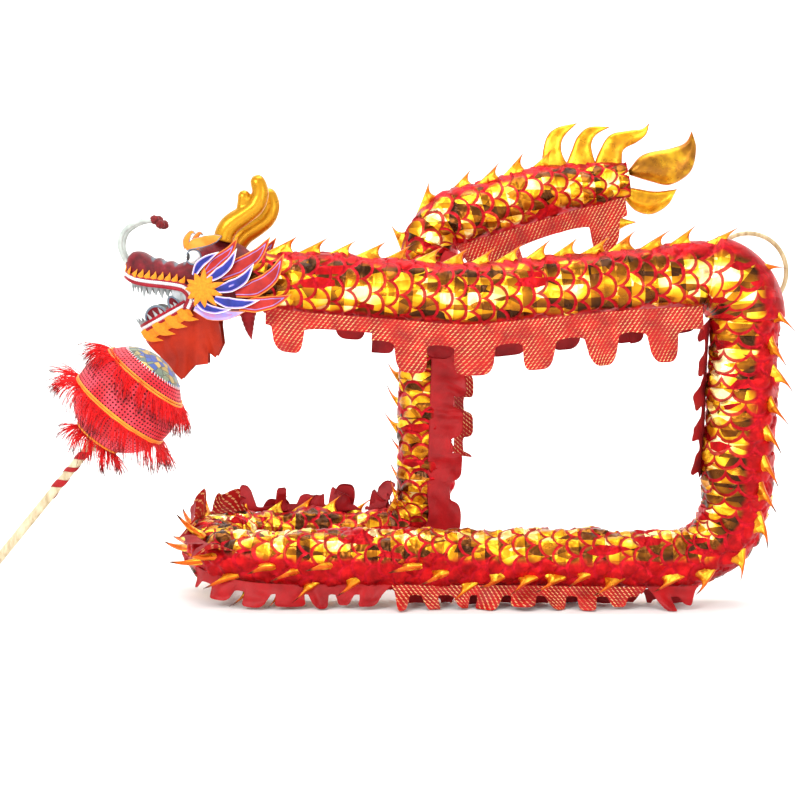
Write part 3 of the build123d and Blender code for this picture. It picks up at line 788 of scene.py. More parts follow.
# Places along the body, in metres from its head end.
S = {name: station(JOINT[name]) for name in (
    "head_yaw", "front_bend", "top_corner_bend", "upright_lean", "base_bend",
    "coil_front_bend", "coil_back_bend", "strand_lean", "tail_sway")}
S["corner"] = station(top_corner)
S["base_corner"] = station(base_corner)
S["coil"] = station(vec(coil_left, AXIS + coil_radius, floor_z))
S["strand_top"] = station(strand_top)
S["end"] = ALONG[-1]

# Which way the back faces, how thick the body is, and how crumpled its foil is, from place to place.
DORSAL_KEYS = [
    (0, (0, -0.05, 1)), (S["corner"] - 0.35, (0, -0.1, 1)), (S["corner"], (0.5, -0.35, 0.8)),
    (S["top_corner_bend"], (0.72, -0.68, 0)), (S["upright_lean"] - 0.1, (0.6, -0.8, 0)),
    (S["base_corner"] + 0.05, (0.45, -0.8, -0.4)), (S["base_corner"] + 0.3, (0, -0.85, -0.52)),
    (S["coil_front_bend"], (-0.1, -0.88, -0.42)), (S["coil"], (-0.95, 0, 0.25)),
    (S["coil_back_bend"], (0, 0.35, 0.93)), (S["strand_lean"] - 0.2, (-0.4, 0.2, 0.9)),
    (S["strand_lean"], (-0.8, 0.55, 0.2)), (S["strand_top"] - 0.25, (-0.85, 0.45, 0)),
    (S["strand_top"] + 0.05, (-0.5, -0.05, 0.85)), (S["tail_sway"] + 0.1, (0, -0.1, 1)),
    (S["end"], (0, -0.05, 1))]
GIRTH_KEYS = [
    (0, 0.08), (0.03, 0.09), (NECK_INSET, 0.093), (NECK_INSET + 0.08, 0.098), (S["corner"], 0.098),
    (S["top_corner_bend"] + 0.05, 0.104), (S["upright_lean"], 0.103), (S["base_corner"], 0.094),
    (S["base_bend"], 0.088), (S["strand_lean"], 0.088), (S["strand_lean"] + 0.1, 0.09),
    (S["strand_top"], 0.094), (S["tail_sway"], 0.096), (S["tail_sway"] + 0.25, 0.091), (S["end"], 0.06)]
CRUMPLE_KEYS = [
    (0, 0.7), (S["corner"] - 0.2, 0.8), (S["corner"], 1.1), (S["top_corner_bend"], 1.0),
    (S["base_corner"], 1.8), (S["base_bend"], 2.0), (S["coil_front_bend"], 2.6), (S["coil"], 3.0),
    (S["coil_back_bend"], 2.8), (S["strand_lean"], 1.5), (S["strand_lean"] + 0.2, 1.0),
    (S["tail_sway"], 0.8), (S["end"], 0.6)]


def frames_at(s):
    """Centre, tangent, dorsal and side directions at places along the body."""
    centre = np.stack([np.interp(s, ALONG, LINE[:, k]) for k in range(3)], -1)
    tangent = unit(np.stack([np.interp(s, ALONG, TANGENT[:, k]) for k in range(3)], -1))
    dorsal = unit(table(s, DORSAL_KEYS))
    dorsal = unit(dorsal - tangent * np.sum(dorsal * tangent, axis=-1, keepdims=True))
    return centre, tangent, dorsal, np.cross(tangent, dorsal)


def scale_relief(u, v):
    """Height of the puffed scales at u, v: each bulges inside its rim and leans its own way."""
    k = np.ceil((u - ARC) / ROW)
    ahead = u - k * ROW
    odd = (k % 2) * 0.5
    shifted = v + odd + 0.5
    beside = (shifted % 1) - 0.5
    first = np.hypot(ahead, beside)
    top = first < ARC
    other = np.where(beside > 0, beside - 0.5, beside + 0.5)
    radius = np.where(top, first, np.hypot(ahead - ROW, other))
    row = k + ~top
    column = np.where(top, np.floor(shifted), np.floor(v - odd + 1.0)) % AROUND
    key = stacked(row, column, top * 1.0) * 1.37 + 0.31
    lean_u, lean_v, puff = (lattice_noise(key * 1.9, seed) for seed in (1, 2, 3))
    local_u, local_v = np.where(top, ahead, ahead - ROW), np.where(top, beside, other)
    inside = np.clip((ARC - radius) / 0.2, 0, 1) ** 0.6
    puffed, lean = 0.006, 0.016
    return inside * (puffed + 0.003 * puff + lean * lean_u * local_u + lean * lean_v * local_v)


BODY_REACH = 0.115      # anything farther out than this isn't inside the body


def hoop_reach():
    """How far out the hoops reach at each place along the body."""
    reach = np.zeros(len(LINE))
    for name, node in frame["nodes"].items():
        if not name.startswith("hoops_"):
            continue
        places = np.array([v.co for v in node.data.vertices])
        for group in np.array_split(places, max(len(places) // 2000, 1)):
            away = np.linalg.norm(group[:, None] - LINE[None, ::2], axis=2)
            nearest = away.argmin(axis=1)
            distance = away.min(axis=1)
            kept = distance < BODY_REACH
            np.maximum.at(reach, nearest[kept] * 2, distance[kept])
    wide = np.max([np.roll(reach, k) for k in range(-3, 4)], axis=0)
    return np.convolve(wide, np.ones(3) / 3, "same")


HOOP_REACH = hoop_reach()


def skin(s, angle):
    """Point of the puckered cover at a place along the body and an angle from its back."""
    centre, _, dorsal, side = frames_at(s)
    out = dorsal * np.cos(angle)[..., None] + side * np.sin(angle)[..., None]
    girth = table(s, GIRTH_KEYS)
    base = centre + out * girth[..., None]
    rough = table(s, CRUMPLE_KEYS)
    lift = scale_relief(s / SCALE, angle * AROUND / (2 * math.pi)) - 0.004
    lift += rough * (0.0036 * creases(base, 0.075, 11) + 0.0014 * creases(base, 0.03, 23))
    lift += rough * 0.005 * lattice_noise(base / 0.12, 3)
    lift -= 0.004 * (0.5 - 0.5 * np.cos(2 * math.pi * s / 0.22))
    lift = np.maximum(lift, np.interp(s, ALONG, HOOP_REACH) + 0.0025 - girth)
    return base + out * lift[..., None]


def squared_to_floor(points):
    """Keeps cloth that rests on the ground above it."""
    points[..., 2] = np.maximum(points[..., 2], 0.002)
    return points


JOINT_ORDER = [
    ("head_yaw", "head", "front_run"), ("front_bend", "front_run", "hind_run"),
    ("top_corner_bend", "hind_run", "upright"), ("upright_lean", "upright", "base_right"),
    ("base_bend", "base_right", "base_left"), ("coil_front_bend", "base_left", "coil"),
    ("coil_back_bend", "coil", "back_run"), ("strand_lean", "back_run", "strand"),
    ("tail_sway", "strand", "tail")]
cuts = [0.0]
for (one, _, _), (two, _, _) in zip(JOINT_ORDER, JOINT_ORDER[1:]):
    cuts.append((S[one] + S[two]) / 2)
cuts += [(S["tail_sway"] + S["end"]) / 2, S["end"]]


def blended(piece, name, before, after):
    """Bakes a finished piece's transform in place; it is not bent across the joint."""
    if before == "head":
        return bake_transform(piece)
    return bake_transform(piece)


def hold(piece, holder, node=None):
    """Lets a piece ride on a body; when holder is a row of JOINT_ORDER, its transform is only baked, not bent
    across the joint.
    """
    if isinstance(holder, str):
        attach(piece, holder)
    else:
        blended(piece, *holder)
    if node:
        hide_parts(node)


def cover(index, start, end):
    """Link of the foil tube between two places along the body."""
    rows = max(int((end - start) / STEP), 8)
    s = np.linspace(start, end, rows)
    angle = np.linspace(0, 2 * math.pi, 121)
    grid_s, grid_a = np.meshgrid(s, angle, indexing="ij")
    points = squared_to_floor(skin(grid_s[:, :-1], grid_a[:, :-1]))
    uv = stacked(grid_s / SCALE, grid_a * AROUND / (2 * math.pi))
    shape = Shape()
    shape.patch(points, wrap=True, uv=uv, flip=True)
    return shape.build(f"cover_cloth_{index}", FOIL)


def fin(shape, s, height, base, lean, turn):
    """Folded foil thorn on the back, like a wave that breaks towards the tail."""
    centre, tangent, dorsal, side = (x[0] for x in frames_at(np.array([s])))
    out = unit(dorsal * math.cos(turn) + side * math.sin(turn))
    foot = centre + out * (table(s, GIRTH_KEYS) - 0.01)
    across = np.cross(tangent, out)
    t = np.linspace(0, 1, 13)
    lead = -base / 2 + (base / 2 + lean) * t ** 0.95
    trail = base / 2 * (1 - t) ** 2.2 + lean * t ** 1.5
    trail = np.maximum(trail, lead + 0.001)
    line = foot + np.outer(t * (height + 0.012), out) + np.outer((lead + trail) / 2, tangent)
    line = line + np.outer(np.sin(t * 3) * 0.006 * SEED.normal(), across)
    wide = (trail - lead) / 2
    thick = 0.013 * (1 - t) ** 0.8 + 0.0007
    shape.rings(line, tangent, across, wide, thick, 14, along=t)


FIN_PITCH = 0.086


def fins(index, start, end):
    """Thorns of one link; those on the coil lean more, and stand twice as close."""
    shape = Shape()
    place = math.ceil((start + 0.03) / FIN_PITCH) * FIN_PITCH
    while place < end - 0.004:
        in_coil = S["coil_front_bend"] - 0.7 < place < S["strand_lean"]
        on_top = place < S["corner"] - 0.1 or place > S["strand_top"]
        height = (0.046 if on_top else 0.054) + 0.012 * SEED.random()
        base = (0.092 if on_top else 0.072) + 0.014 * SEED.random()
        if 0.06 < place < S["end"] - 0.26:
            turn = np.clip(SEED.normal(), -1.2, 1.2) * (0.32 if in_coil else 0.1)
            fin(shape, place, height, base, 0.055 + 0.02 * SEED.random(), turn)
            if S["coil_front_bend"] - 0.2 < place < S["coil_back_bend"] - 0.1:
                aside = SEED.choice((-1, 1)) * (0.5 + 0.5 * SEED.random())
                fin(shape, place + FIN_PITCH / 2, height + 0.008, base, 0.06, turn + aside)
        place += FIN_PITCH
    if not shape.count:
        return None
    made = shape.build(f"back_fins_{index}", FIN_FOIL)
    edge = CAD_BOX[1][1] - 0.01
    for vertex in made.data.vertices:
        vertex.co.z = max(vertex.co.z, 0.001)
        vertex.co.y = min(vertex.co.y, edge + (vertex.co.y - edge) * 0.5)
    return made


COVER_NODES = [after for _, _, after in JOINT_ORDER]


def body_links():
    """Cover and fins in links, one for each joint, each with its transform baked in place; the last one rides
    on the tail.
    """
    last = len(COVER_NODES) - 1
    for index, (start, end) in enumerate(zip(cuts, cuts[1:])):
        holder = "tail" if index > last else JOINT_ORDER[index]
        section = COVER_NODES[min(index, last)]
        cloth_piece = cover(index, start, end + STEP * 0.5)
        fin_piece = fins(index, start, end)
        hold(cloth_piece, holder)
        if fin_piece:
            hold(fin_piece, holder)
        if index <= last:
            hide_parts("cover_" + section)
            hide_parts("spine_" + section)


body_links()


# ---- Strips --------------------------------------------------------------------------------------

def lobe_profile(x, pitch, width, band, reach, phase, seed, uneven):
    """How far down the strip goes at x: a band with a rounded lobe every pitch."""
    turn = x / pitch + phase
    index = np.floor(turn)
    chance = lattice_noise(stacked(index * 1.7 + 0.4, seed, 0), 5)
    place = np.abs((turn % 1) - 0.5) * pitch
    half = width / 2 * (1 + uneven * chance)
    t = np.clip(place / half, 0, 1.6)
    lobe = np.clip(1 - t ** 4.5, 0, 1) ** 0.42
    notch = np.clip((place - half) / (pitch / 2 - half + 1e-6), 0, 1)
    arch = np.sqrt(np.clip(1 - (1 - notch) ** 2, 0, 1))
    side = (reach - band) * 0.14 * (1 - arch)
    depth = 1 + uneven * lattice_noise(stacked(index * 2.3 + 0.9, seed, 0), 6)
    body = (reach - band) * (0.14 + 0.86 * lobe) * depth
    return band + np.where(t < 1, body, side)


def skirt(name, start, end, root, reach, band, way, phase=0.0, pitch=0.184, width=0.1, flare=0.012,
          outer=None, seed=1, wild=1.0, uneven=0.08, taper=False):
    """Double strip of lobes sewn on at the root angle from the back and hanging the way given."""
    rows = int((end - start) / 0.004)
    s = np.linspace(start, end, rows)
    centre, tangent, dorsal, side = frames_at(s)
    out = dorsal * math.cos(root) + side * math.sin(root)
    foot = centre + out * (table(s, GIRTH_KEYS) + 0.002)[:, None]
    hang = unit(np.tile(np.array(way, float), (rows, 1)) if not callable(way) else way(s))
    hang = unit(hang - tangent * np.sum(hang * tangent, -1, keepdims=True) * 0.7)
    outward = unit(np.cross(tangent, hang))
    outward *= np.sign(np.sum(outward * out, -1, keepdims=True) + 1e-6)
    deep = lobe_profile(s - start, pitch, width, band, reach, phase, seed, uneven)
    if taper:
        deep = deep * (0.12 + 0.88 * smooth(0, 0.03, s - start) * smooth(0, 0.03, end - s))
    t = np.linspace(0, 1, 24)
    drop = deep[:, None] * t
    share = drop / reach
    ripple = 0.005 * np.sin(s / 0.021 + 2 * lattice_noise(stacked(s / 0.05, 0, seed), 4))
    grid = stacked(s[:, None] / 0.055, drop / 0.055, float(seed))
    wave = 0.009 * lattice_noise(grid, 9) + 0.0035 * lattice_noise(grid * 2.7, 10)
    curl = flare * share ** 1.5 + wild * (ripple[:, None] + wave) * share
    points = foot[:, None] + hang[:, None] * drop[..., None] + outward[:, None] * curl[..., None]
    sway = lattice_noise(stacked(s / 0.09, seed, 0), 7)[:, None]
    points = points + tangent[:, None] * (uneven * 1.4 * sway * drop * share)[..., None]
    points = squared_to_floor(points)
    uv = stacked(s[:, None], drop)
    shape = Shape()
    slab(shape, points, outward, 0.0016, uv, 0, 1)
    made = welded(shape.build(name, outer or SEQUIN, LINING))
    area = cloth_area(points)
    width = max(reach * 1.09, area / (end - start))
    return made


def cloth_area(points):
    """Area of the cloth over a grid of points."""
    along, across = np.diff(points, axis=0)[:, :-1], np.diff(points, axis=1)[:-1]
    return float(np.linalg.norm(np.cross(along, across), axis=-1).sum())


FLANK = math.radians(140)       # where a strip is sewn on, as an angle from the back
DOWN = (0, 0, -1)


def run_strips():
    """Lobed strips down both flanks of the top run."""
    front_bend = ("front_bend", "front_run", "hind_run")
    spans = [
        ("front", S["head_yaw"] - 0.04, cuts[1], "front_run", "skirt_front_run", 0.364, 0.12, 0.045),
        ("middle", cuts[1], cuts[2], front_bend, "skirt_hind_run", 0.182, 0.155, 0.066),
        ("back", cuts[2], S["corner"] - 0.11, "hind_run", None, 0.182, 0.155, 0.068)]
    lobe = S["front_bend"] - 0.164
    for name, start, end, holder, node, pitch, reach, band in spans:
        phase = (0.5 - (lobe - start) / pitch) % 1
        near = skirt(f"skirt_{name}_near", start, end, FLANK, reach, band, DOWN, phase, pitch, seed=2)
        far = skirt(f"skirt_{name}_far", start, end, -FLANK, reach - 0.035, band - 0.01, DOWN,
                    phase + 0.5, pitch, outer=RED_SATIN, seed=3)
        hold(near, holder, node)
        hold(far, holder)


def upright_strips():
    """Strips down the upright, and the one that turns with it on to the floor."""
    first, last = S["top_corner_bend"] - 0.06, S["upright_lean"] - 0.02
    left = skirt("skirt_upright_left", first, last, FLANK, 0.075, 0.035, (-0.25, -0.45, -0.9),
                 0.2, pitch=0.1, width=0.06, seed=4)
    right = skirt("skirt_upright_right", first + 0.1, last, -FLANK, 0.12, 0.05, (0.95, 0.1, -0.5),
                  0.5, pitch=0.095, width=0.058, seed=5)
    low_corner = skirt("skirt_low_corner", S["upright_lean"] + 0.02, S["base_corner"] + 0.08, -FLANK,
                       0.1, 0.04, (0.75, -0.1, -0.5), 0.4, pitch=0.085, width=0.056, seed=6)
    hold(left, "upright", "skirt_upright")
    hold(right, "upright")
    hold(low_corner, "base_right", "skirt_base_right")


def floor_ribbons():
    """Strips that lie crumpled on the floor beside the low run."""
    right, middle, left = S["base_corner"] + 0.1, cuts[4], cuts[5]
    base_bend = ("base_bend", "base_right", "base_left")
    coil_bend = ("coil_front_bend", "base_left", "coil")
    near_root, low_root = -22, -62
    ribbons = [
        ("right", right, middle, near_root, RED_SATIN, "base_right", None),
        ("middle", middle, left, near_root, SEQUIN, base_bend, "skirt_base_left"),
        ("left", left, S["coil"] - 0.12, near_root, RED_SATIN, coil_bend, "skirt_coil"),
        ("right_far", right, middle, low_root, SEQUIN, "base_right", None),
        ("middle_far", middle, left, low_root, RED_SATIN, base_bend, None)]
    for seed, (name, start, end, root, outer, holder, node) in enumerate(ribbons, start=7):
        made = skirt("ribbon_" + name, start, end, math.radians(root), 0.068, 0.03, (0, -0.15, -1),
                     0.2 * seed, pitch=0.082 + 0.006 * (seed % 3), width=0.056, flare=0.026, outer=outer,
                     seed=seed, wild=2.0, uneven=0.34, taper=True)
        hold(made, holder, node)


def heaps():
    """Strips that spill in loose waves over the coil and the back run."""
    coil, middle, foot = S["coil"], cuts[7], S["strand_lean"]
    bend = ("coil_back_bend", "coil", "back_run")
    strips = [
        ("coil_front", coil - 0.25, coil + 0.2, 35, 0.046, (-0.6, 0, 0.5), "coil", SEQUIN),
        ("coil", coil + 0.2, middle - 0.06, -8, 0.055, (-0.15, -0.35, 0.8), bend, RED_SATIN),
        ("coil_low", coil + 0.1, middle - 0.06, -42, 0.06, (-0.2, -0.8, 0.4), bend, SEQUIN),
        ("back", middle - 0.05, foot - 0.2, -6, 0.056, (0.15, -0.3, 0.9), "back_run", RED_SATIN),
        ("back_low", middle - 0.05, foot - 0.16, -38, 0.055, (0.2, -0.8, 0.45), "back_run", SEQUIN)]
    for index, (name, start, end, root, reach, way, holder, outer) in enumerate(strips):
        made = skirt(f"skirt_{name}_heap", start, end, math.radians(root), reach, 0.016, way, 0.3 * index,
                     pitch=0.086 + 0.009 * (index % 3), width=0.062, seed=20 + index, flare=0.05,
                     outer=outer, wild=3.2, uneven=0.55, taper=True)
        hold(made, holder, "skirt_back_run" if name == "back" else None)


def back_strips():
    """Strips of the strand that rises at the back, of its top corner and of the tail."""
    foot, top, tail_start = S["strand_lean"], S["strand_top"], S["tail_sway"] + 0.1
    strand = skirt("strip_strand", foot - 0.13, top - 0.04, FLANK - 0.22, 0.112, 0.072,
                   (0.9, 0.08, -0.42), 0.3, pitch=0.15, outer=RED_SATIN, seed=14, wild=1.6, uneven=0.15)
    far = skirt("skirt_strand_far", foot + 0.08, top - 0.2, -FLANK, 0.06, 0.03,
                (0.8, 0.2, -0.6), 0.7, pitch=0.13, width=0.08, seed=15, flare=0.02)
    lobe, pitch = S["tail_sway"] + 0.4, 0.36
    tail = skirt("strip_tail", tail_start, S["end"] - 0.02, FLANK, 0.15, 0.055, (0.1, 0, -1),
                 0.5 - (lobe - tail_start) / pitch, pitch=pitch, seed=16)
    bend = skirt("skirt_strand_top", top + 0.01, tail_start, FLANK, 0.13, 0.09, (0.2, 0, -1),
                 0.4, pitch=0.2, width=0.13, seed=17)
    hold(strand, ("strand_lean", "back_run", "strand"), "skirt_strand")
    hold(far, "strand")
    hold(tail, "tail", "skirt_tail")
    hold(bend, "strand")


run_strips()
upright_strips()
floor_ribbons()
heaps()
back_strips()


# ---- Tail flames -----------------------------------------------------------------------------------

def pillow(shape, edge_a, edge_b, depth, count=22, rows=34):
    """Stuffed flame between two outlines that meet at its tip."""
    a, b = curve(edge_a, rows), curve(edge_b, rows)
    middle = (a + b) / 2
    gap = np.linalg.norm(a - b, axis=1)
    way = tangents(middle)
    side = (a - b) / np.maximum(gap, 1e-5)[:, None]
    side[gap < 0.004] = side[gap >= 0.004][-1]
    normal = unit(np.cross(side, way))
    wide = np.maximum(gap / 2, 0.0008)
    deep = depth * np.sqrt(np.clip(wide / wide.max(), 0.02, 1))
    shape.rings(middle, side, normal, wide, np.minimum(deep, wide), count, along=np.linspace(0, 1, rows))


FLAMES = [
    ([(0.208, 0.128), (0.208, 0.165), (0.222, 0.238), (0.256, 0.272), (0.322, 0.287)],
     [(0.3, 0.15), (0.282, 0.172), (0.271, 0.205), (0.279, 0.242), (0.322, 0.287)]),
    ([(0.286, 0.155), (0.302, 0.195), (0.322, 0.243), (0.36, 0.274), (0.429, 0.275)],
     [(0.385, 0.15), (0.372, 0.189), (0.368, 0.222), (0.384, 0.25), (0.429, 0.275)]),
    ([(0.376, 0.152), (0.39, 0.192), (0.425, 0.248), (0.486, 0.263), (0.528, 0.268), (0.552, 0.287)],
     [(0.468, 0.14), (0.466, 0.172), (0.472, 0.203), (0.512, 0.225), (0.542, 0.25), (0.552, 0.287)])]
PLUME = ([(0.486, 0.138), (0.533, 0.187), (0.621, 0.207), (0.668, 0.226), (0.688, 0.262)],
         [(0.488, 0.122), (0.556, 0.101), (0.621, 0.09), (0.686, 0.132), (0.703, 0.205), (0.688, 0.262)])
LOW_FLAME = ([(0.478, 0.085), (0.52, 0.078), (0.575, 0.07), (0.643, 0.077)],
             [(0.474, 0.045), (0.51, 0.008), (0.562, -0.004), (0.615, 0.026), (0.643, 0.077)])
LOW_TUFT = ([(0.425, 0.01), (0.452, -0.008), (0.485, -0.02), (0.517, -0.028)],
            [(0.425, -0.02), (0.45, -0.053), (0.482, -0.04), (0.517, -0.028)])


def tail_piece(name, outlines, material, nodes=(), **shape_of):
    """Stuffed flames on the tail, each between two outlines in x and z from the tail's joint."""
    shape = Shape()
    for edges, depth in outlines:
        edge_a, edge_b = ([JOINT["tail_sway"] + vec(x, 0, z) for x, z in edge] for edge in edges)
        pillow(shape, edge_a, edge_b, depth, **shape_of)
    placed(shape.build(name, material), "tail", nodes)


def tail_flames():
    """Three flames on top of the tail, the end plume, and a low flame with a tuft."""
    tail_piece("tail_flame_foil", [(edges, 0.015) for edges in FLAMES], FLAME_FOIL, ["tail_flames"])
    tail_piece("tail_plume_foil", [(PLUME, 0.028)], PLUME_FOIL, ["tail_plume"], rows=44, count=28)
    tail_piece("tail_low_flame", [(LOW_FLAME, 0.022), (LOW_TUFT, 0.01)], FLAME_FOIL)


tail_flames()


# ---- Head ---------------------------------------------------------------------------------------------

HINGE = JOINT["jaw_hinge"]
NEAR, FAR = -1, 1


def head(x, y, z):
    """A point of the head, measured from the jaw's hinge."""
    return HINGE + vec(x, y, z)


def head_curve(points, count):
    return curve([head(*point) for point in points], count)


# Outline of the head from the nose back: x from the hinge, then height or half width there.
HEAD_TOP = [
    (-0.196, 0.086), (-0.19, 0.1), (-0.175, 0.117), (-0.157, 0.121), (-0.14, 0.118), (-0.124, 0.109),
    (-0.108, 0.1), (-0.092, 0.101), (-0.075, 0.091), (-0.056, 0.092), (-0.04, 0.084), (-0.024, 0.088),
    (-0.004, 0.098), (0.036, 0.138), (0.071, 0.16), (0.13, 0.148), (0.175, 0.12), (0.205, 0.085)]
HEAD_BOTTOM = [
    (-0.196, 0.078), (-0.19, 0.056), (-0.176, 0.044), (-0.12, 0.036), (-0.081, 0.032), (-0.033, 0.026),
    (0, 0.012), (0.03, -0.014), (0.081, -0.05), (0.15, -0.062), (0.185, -0.04), (0.205, -0.01)]
HEAD_HALF = [
    (-0.196, 0.01), (-0.19, 0.026), (-0.176, 0.043), (-0.143, 0.057), (-0.079, 0.066), (-0.019, 0.08),
    (0.036, 0.095), (0.081, 0.1), (0.13, 0.097), (0.175, 0.08), (0.205, 0.05)]


def head_skin():
    """Snout with its wrinkled bridge, and the skull behind it."""
    x = np.concatenate([np.linspace(-0.196, -0.17, 14), np.linspace(-0.168, 0.205, 110)])
    top, bottom, half = (soft(x, keys) for keys in (HEAD_TOP, HEAD_BOTTOM, HEAD_HALF))
    angle = np.linspace(0, 2 * math.pi, 73)[:-1]
    power = table(x, [(-0.196, 0.9), (-0.16, 0.62), (0, 0.7), (0.1, 0.95)])[:, None]
    s = np.sin(angle)
    y = half[:, None] * signed_power(np.cos(angle), power)
    z = ((top + bottom) / 2)[:, None] + ((top - bottom) / 2)[:, None] * signed_power(s, power)
    crease = sum(np.exp(-((x - place) / 0.006) ** 2) for place in (-0.108, -0.075, -0.04, -0.012))
    shade = crease[:, None] * smooth(0.2, 0.9, s) + 0.35 * smooth(0.7, 1, s) * (x < -0.02)[:, None]
    points = HINGE + stacked(x[:, None], y, z)
    uv = stacked(x[:, None], shade)
    shape = Shape()
    shape.patch(points, wrap=True, uv=uv)
    shape.cap(points[0], uv[0, 0], flip=True)
    shape.cap(points[-1], uv[-1, 0])
    made = shape.build("head_skin", HEAD_CLOTH)
    placed(made, "head", ["head_shell"])


def mirrored(points):
    """Near-side line from the back to the nose, then the same on the far side back again."""
    near = np.array(points, float) * vec(1, -1, 1)
    far = near[::-1] * vec(1, -1, 1)
    return np.vstack([near, far[1:] if abs(near[-1, 1]) < 1e-6 else far])


LIP = mirrored([
    (-0.004, 0.092, -0.046), (0.006, 0.093, -0.024), (0.004, 0.091, -0.006), (-0.012, 0.086, 0.011),
    (-0.035, 0.08, 0.018), (-0.081, 0.069, 0.024), (-0.12, 0.062, 0.028), (-0.155, 0.053, 0.034),
    (-0.176, 0.043, 0.042), (-0.19, 0.024, 0.05), (-0.196, 0.0, 0.052)])
JAW_BACK = vec(-0.006, 0, -0.034)
JAW_WAY = unit(vec(-0.875, 0, -0.483))
JAW_UP = vec(-0.483, 0, 0.875)


def jaw(along, y, up):
    """A point of the jaw, from the mouth's corner along its rim."""
    return HINGE + JAW_BACK + JAW_WAY * along + vec(0, y, 0) + JAW_UP * up


# The jaw's rim: distance from the mouth's corner, and half width there.
RIM = [(0, 0.074), (0.04, 0.064), (0.09, 0.056), (0.13, 0.046), (0.152, 0.028), (0.16, 0.0)]


def rim_line(inset, up, count=120):
    half = [jaw(a, -(w - inset) if w > inset else 0, up) for a, w in RIM]
    middle = vec(0, HINGE[1], 0)
    other = [(q - middle) * vec(1, -1, 1) + middle for q in half[-2::-1]]
    return curve(half + other, count)


def outward_of(line, back):
    """Level direction away from the head's middle, round the front of the snout or the jaw."""
    rel = line - HINGE
    return unit(stacked(np.minimum(rel[:, 0] - back, 0) * 1.6, rel[:, 1], 0))


def braid_radius(line):
    """Thickness of plaited braid, which swells at each strand."""
    return 0.0052 * (1 + 0.16 * np.sin(lengths(line) / 0.0011))


def trims():
    """Piping, braid and piping along the upper lip and the jaw, and the flame points beside them."""
    lip = curve([HINGE + q for q in LIP], 190)
    out = outward_of(lip, -0.14)
    t = tangents(lip)
    up = unit(np.cross(t, out))
    up *= np.sign(up[len(lip) // 2, 2])
    shape = Shape()
    shape.tube(lip - up * 0.007, 0.0058, count=12)
    shape.tube(lip + up * 0.0105, 0.0032, count=10)
    placed(shape.build("lip_piping", CRIMSON_PIPING), "head")
    braid = Shape()
    braid.tube(lip + up * 0.0028 + out * 0.001, braid_radius(lip), count=12)
    placed(braid.build("lip_braid", BRAID), "head")
    flames = Shape()
    along = lengths(lip)
    for place in np.arange(0.058, along[-1] - 0.055, 0.0215):
        k = int(np.argmin(np.abs(along - place)))
        if abs(lip[k, 1] - HINGE[1]) < 0.014:
            continue
        toward = t[k] * (1 if lip[k, 1] < HINGE[1] else -1)
        foot = lip[k] + up[k] * 0.011 + out[k] * 0.001
        tip = foot + up[k] * (0.022 + 0.006 * SEED.random()) - toward * 0.006 - out[k] * 0.002
        line = curve([foot, (foot + tip) / 2 - toward * 0.0015, tip], 9)
        widths = [(0, 0.0095), (0.3, 0.0085), (0.65, 0.004), (1, 0.0003)]
        leaf(flames, line, widths, 0.0022, out[k], count=10)
    placed(flames.build("lip_flames", ORANGE_FELT), "head")

    rim = rim_line(0, 0, 150)
    rim_out = outward_of(rim, -0.1)
    piping = Shape()
    piping.tube(rim + JAW_UP * 0.0095, 0.005, count=12)
    piping.tube(rim - JAW_UP * 0.0085, 0.0052, count=12)
    placed(piping.build("jaw_piping", CRIMSON_PIPING), "jaw", ["jaw_pin"])
    jaw_braid = Shape()
    jaw_braid.tube(rim + rim_out * 0.001, braid_radius(rim), count=12)
    placed(jaw_braid.build("jaw_braid", BRAID), "jaw")


def jaw_body():
    """Trough of the lower jaw with the maroon lining, the tongue in it, and the flame points below."""
    along = np.concatenate([np.linspace(-0.012, 0.13, 30), 0.13 + 0.026 * np.sin(np.linspace(0.05, 1.5, 16))])
    half = soft(along, [(-0.012, 0.074)] + RIM[1:-1] + [(0.157, 0.008)]) - 0.001
    centres = np.array([jaw(a, 0, -0.006) for a in along])
    shape = Shape()
    shape.rings(centres, vec(0, 1, 0), JAW_UP, np.maximum(half, 0.004), 0.013, 48, power=0.6)
    placed(shape.build("jaw_lining", MAROON), "jaw", ["lower_jaw"])

    tongue = Shape()
    line = curve([jaw(0.0, 0, 0.004), jaw(0.05, 0, 0.016), jaw(0.095, 0, 0.016), jaw(0.13, 0, 0.03)], 26)
    leaf(tongue, line, [(0, 0.026), (0.5, 0.025), (0.85, 0.016), (1, 0.003)], 0.006, JAW_UP)
    placed(tongue.build("tongue_pad", RED_SATIN), "jaw", ["tongue"])

    rim = rim_line(-0.0035, -0.013, 120)
    rim_out = outward_of(rim, -0.1)
    t = np.linspace(0, 1, 5)
    band = rim[:, None] - JAW_UP * (0.026 * t)[None, :, None] - rim_out[:, None] * (0.004 * t)[None, :, None]
    flames = Shape()
    slab(flames, band, rim_out, 0.0024)
    # Place along the rim, width and length of each flame point.
    spikes = ((0.148, 0.02, 0.06), (0.105, 0.022, 0.062), (0.062, 0.022, 0.06), (0.02, 0.02, 0.058))
    for side in (NEAR, FAR):
        for place, width, length in spikes:
            y = side * (float(soft(place, RIM)) + 0.002)
            foot = jaw(place, y, -0.008)
            tip = foot + vec(0.05, side * 0.004, -0.031) * (length / 0.06)
            middle = (foot + tip) / 2 + vec(-0.011, side * 0.004, -0.008)
            line = curve([foot + vec(-0.006, 0, 0.002), middle, tip], 14)
            widths = [(0, 0.7 * width), (0.3, 0.74 * width), (0.62, 0.42 * width), (1, 0.0004)]
            leaf(flames, line, widths, 0.003, (0, side, 0.1), count=14)
    placed(flames.build("jaw_flames", ORANGE_FELT), "jaw")


def zigzag(x, pitch, seed):
    """Rows of pointed teeth of uneven length, from 0 to 1."""
    index = np.floor(x / pitch)
    chance = lattice_noise(stacked(index * 1.3 + 0.5, seed, 0), 8)
    return (1 - np.abs(2 * (x / pitch % 1) - 1)) ** 0.9 * (0.8 + 0.3 * chance)


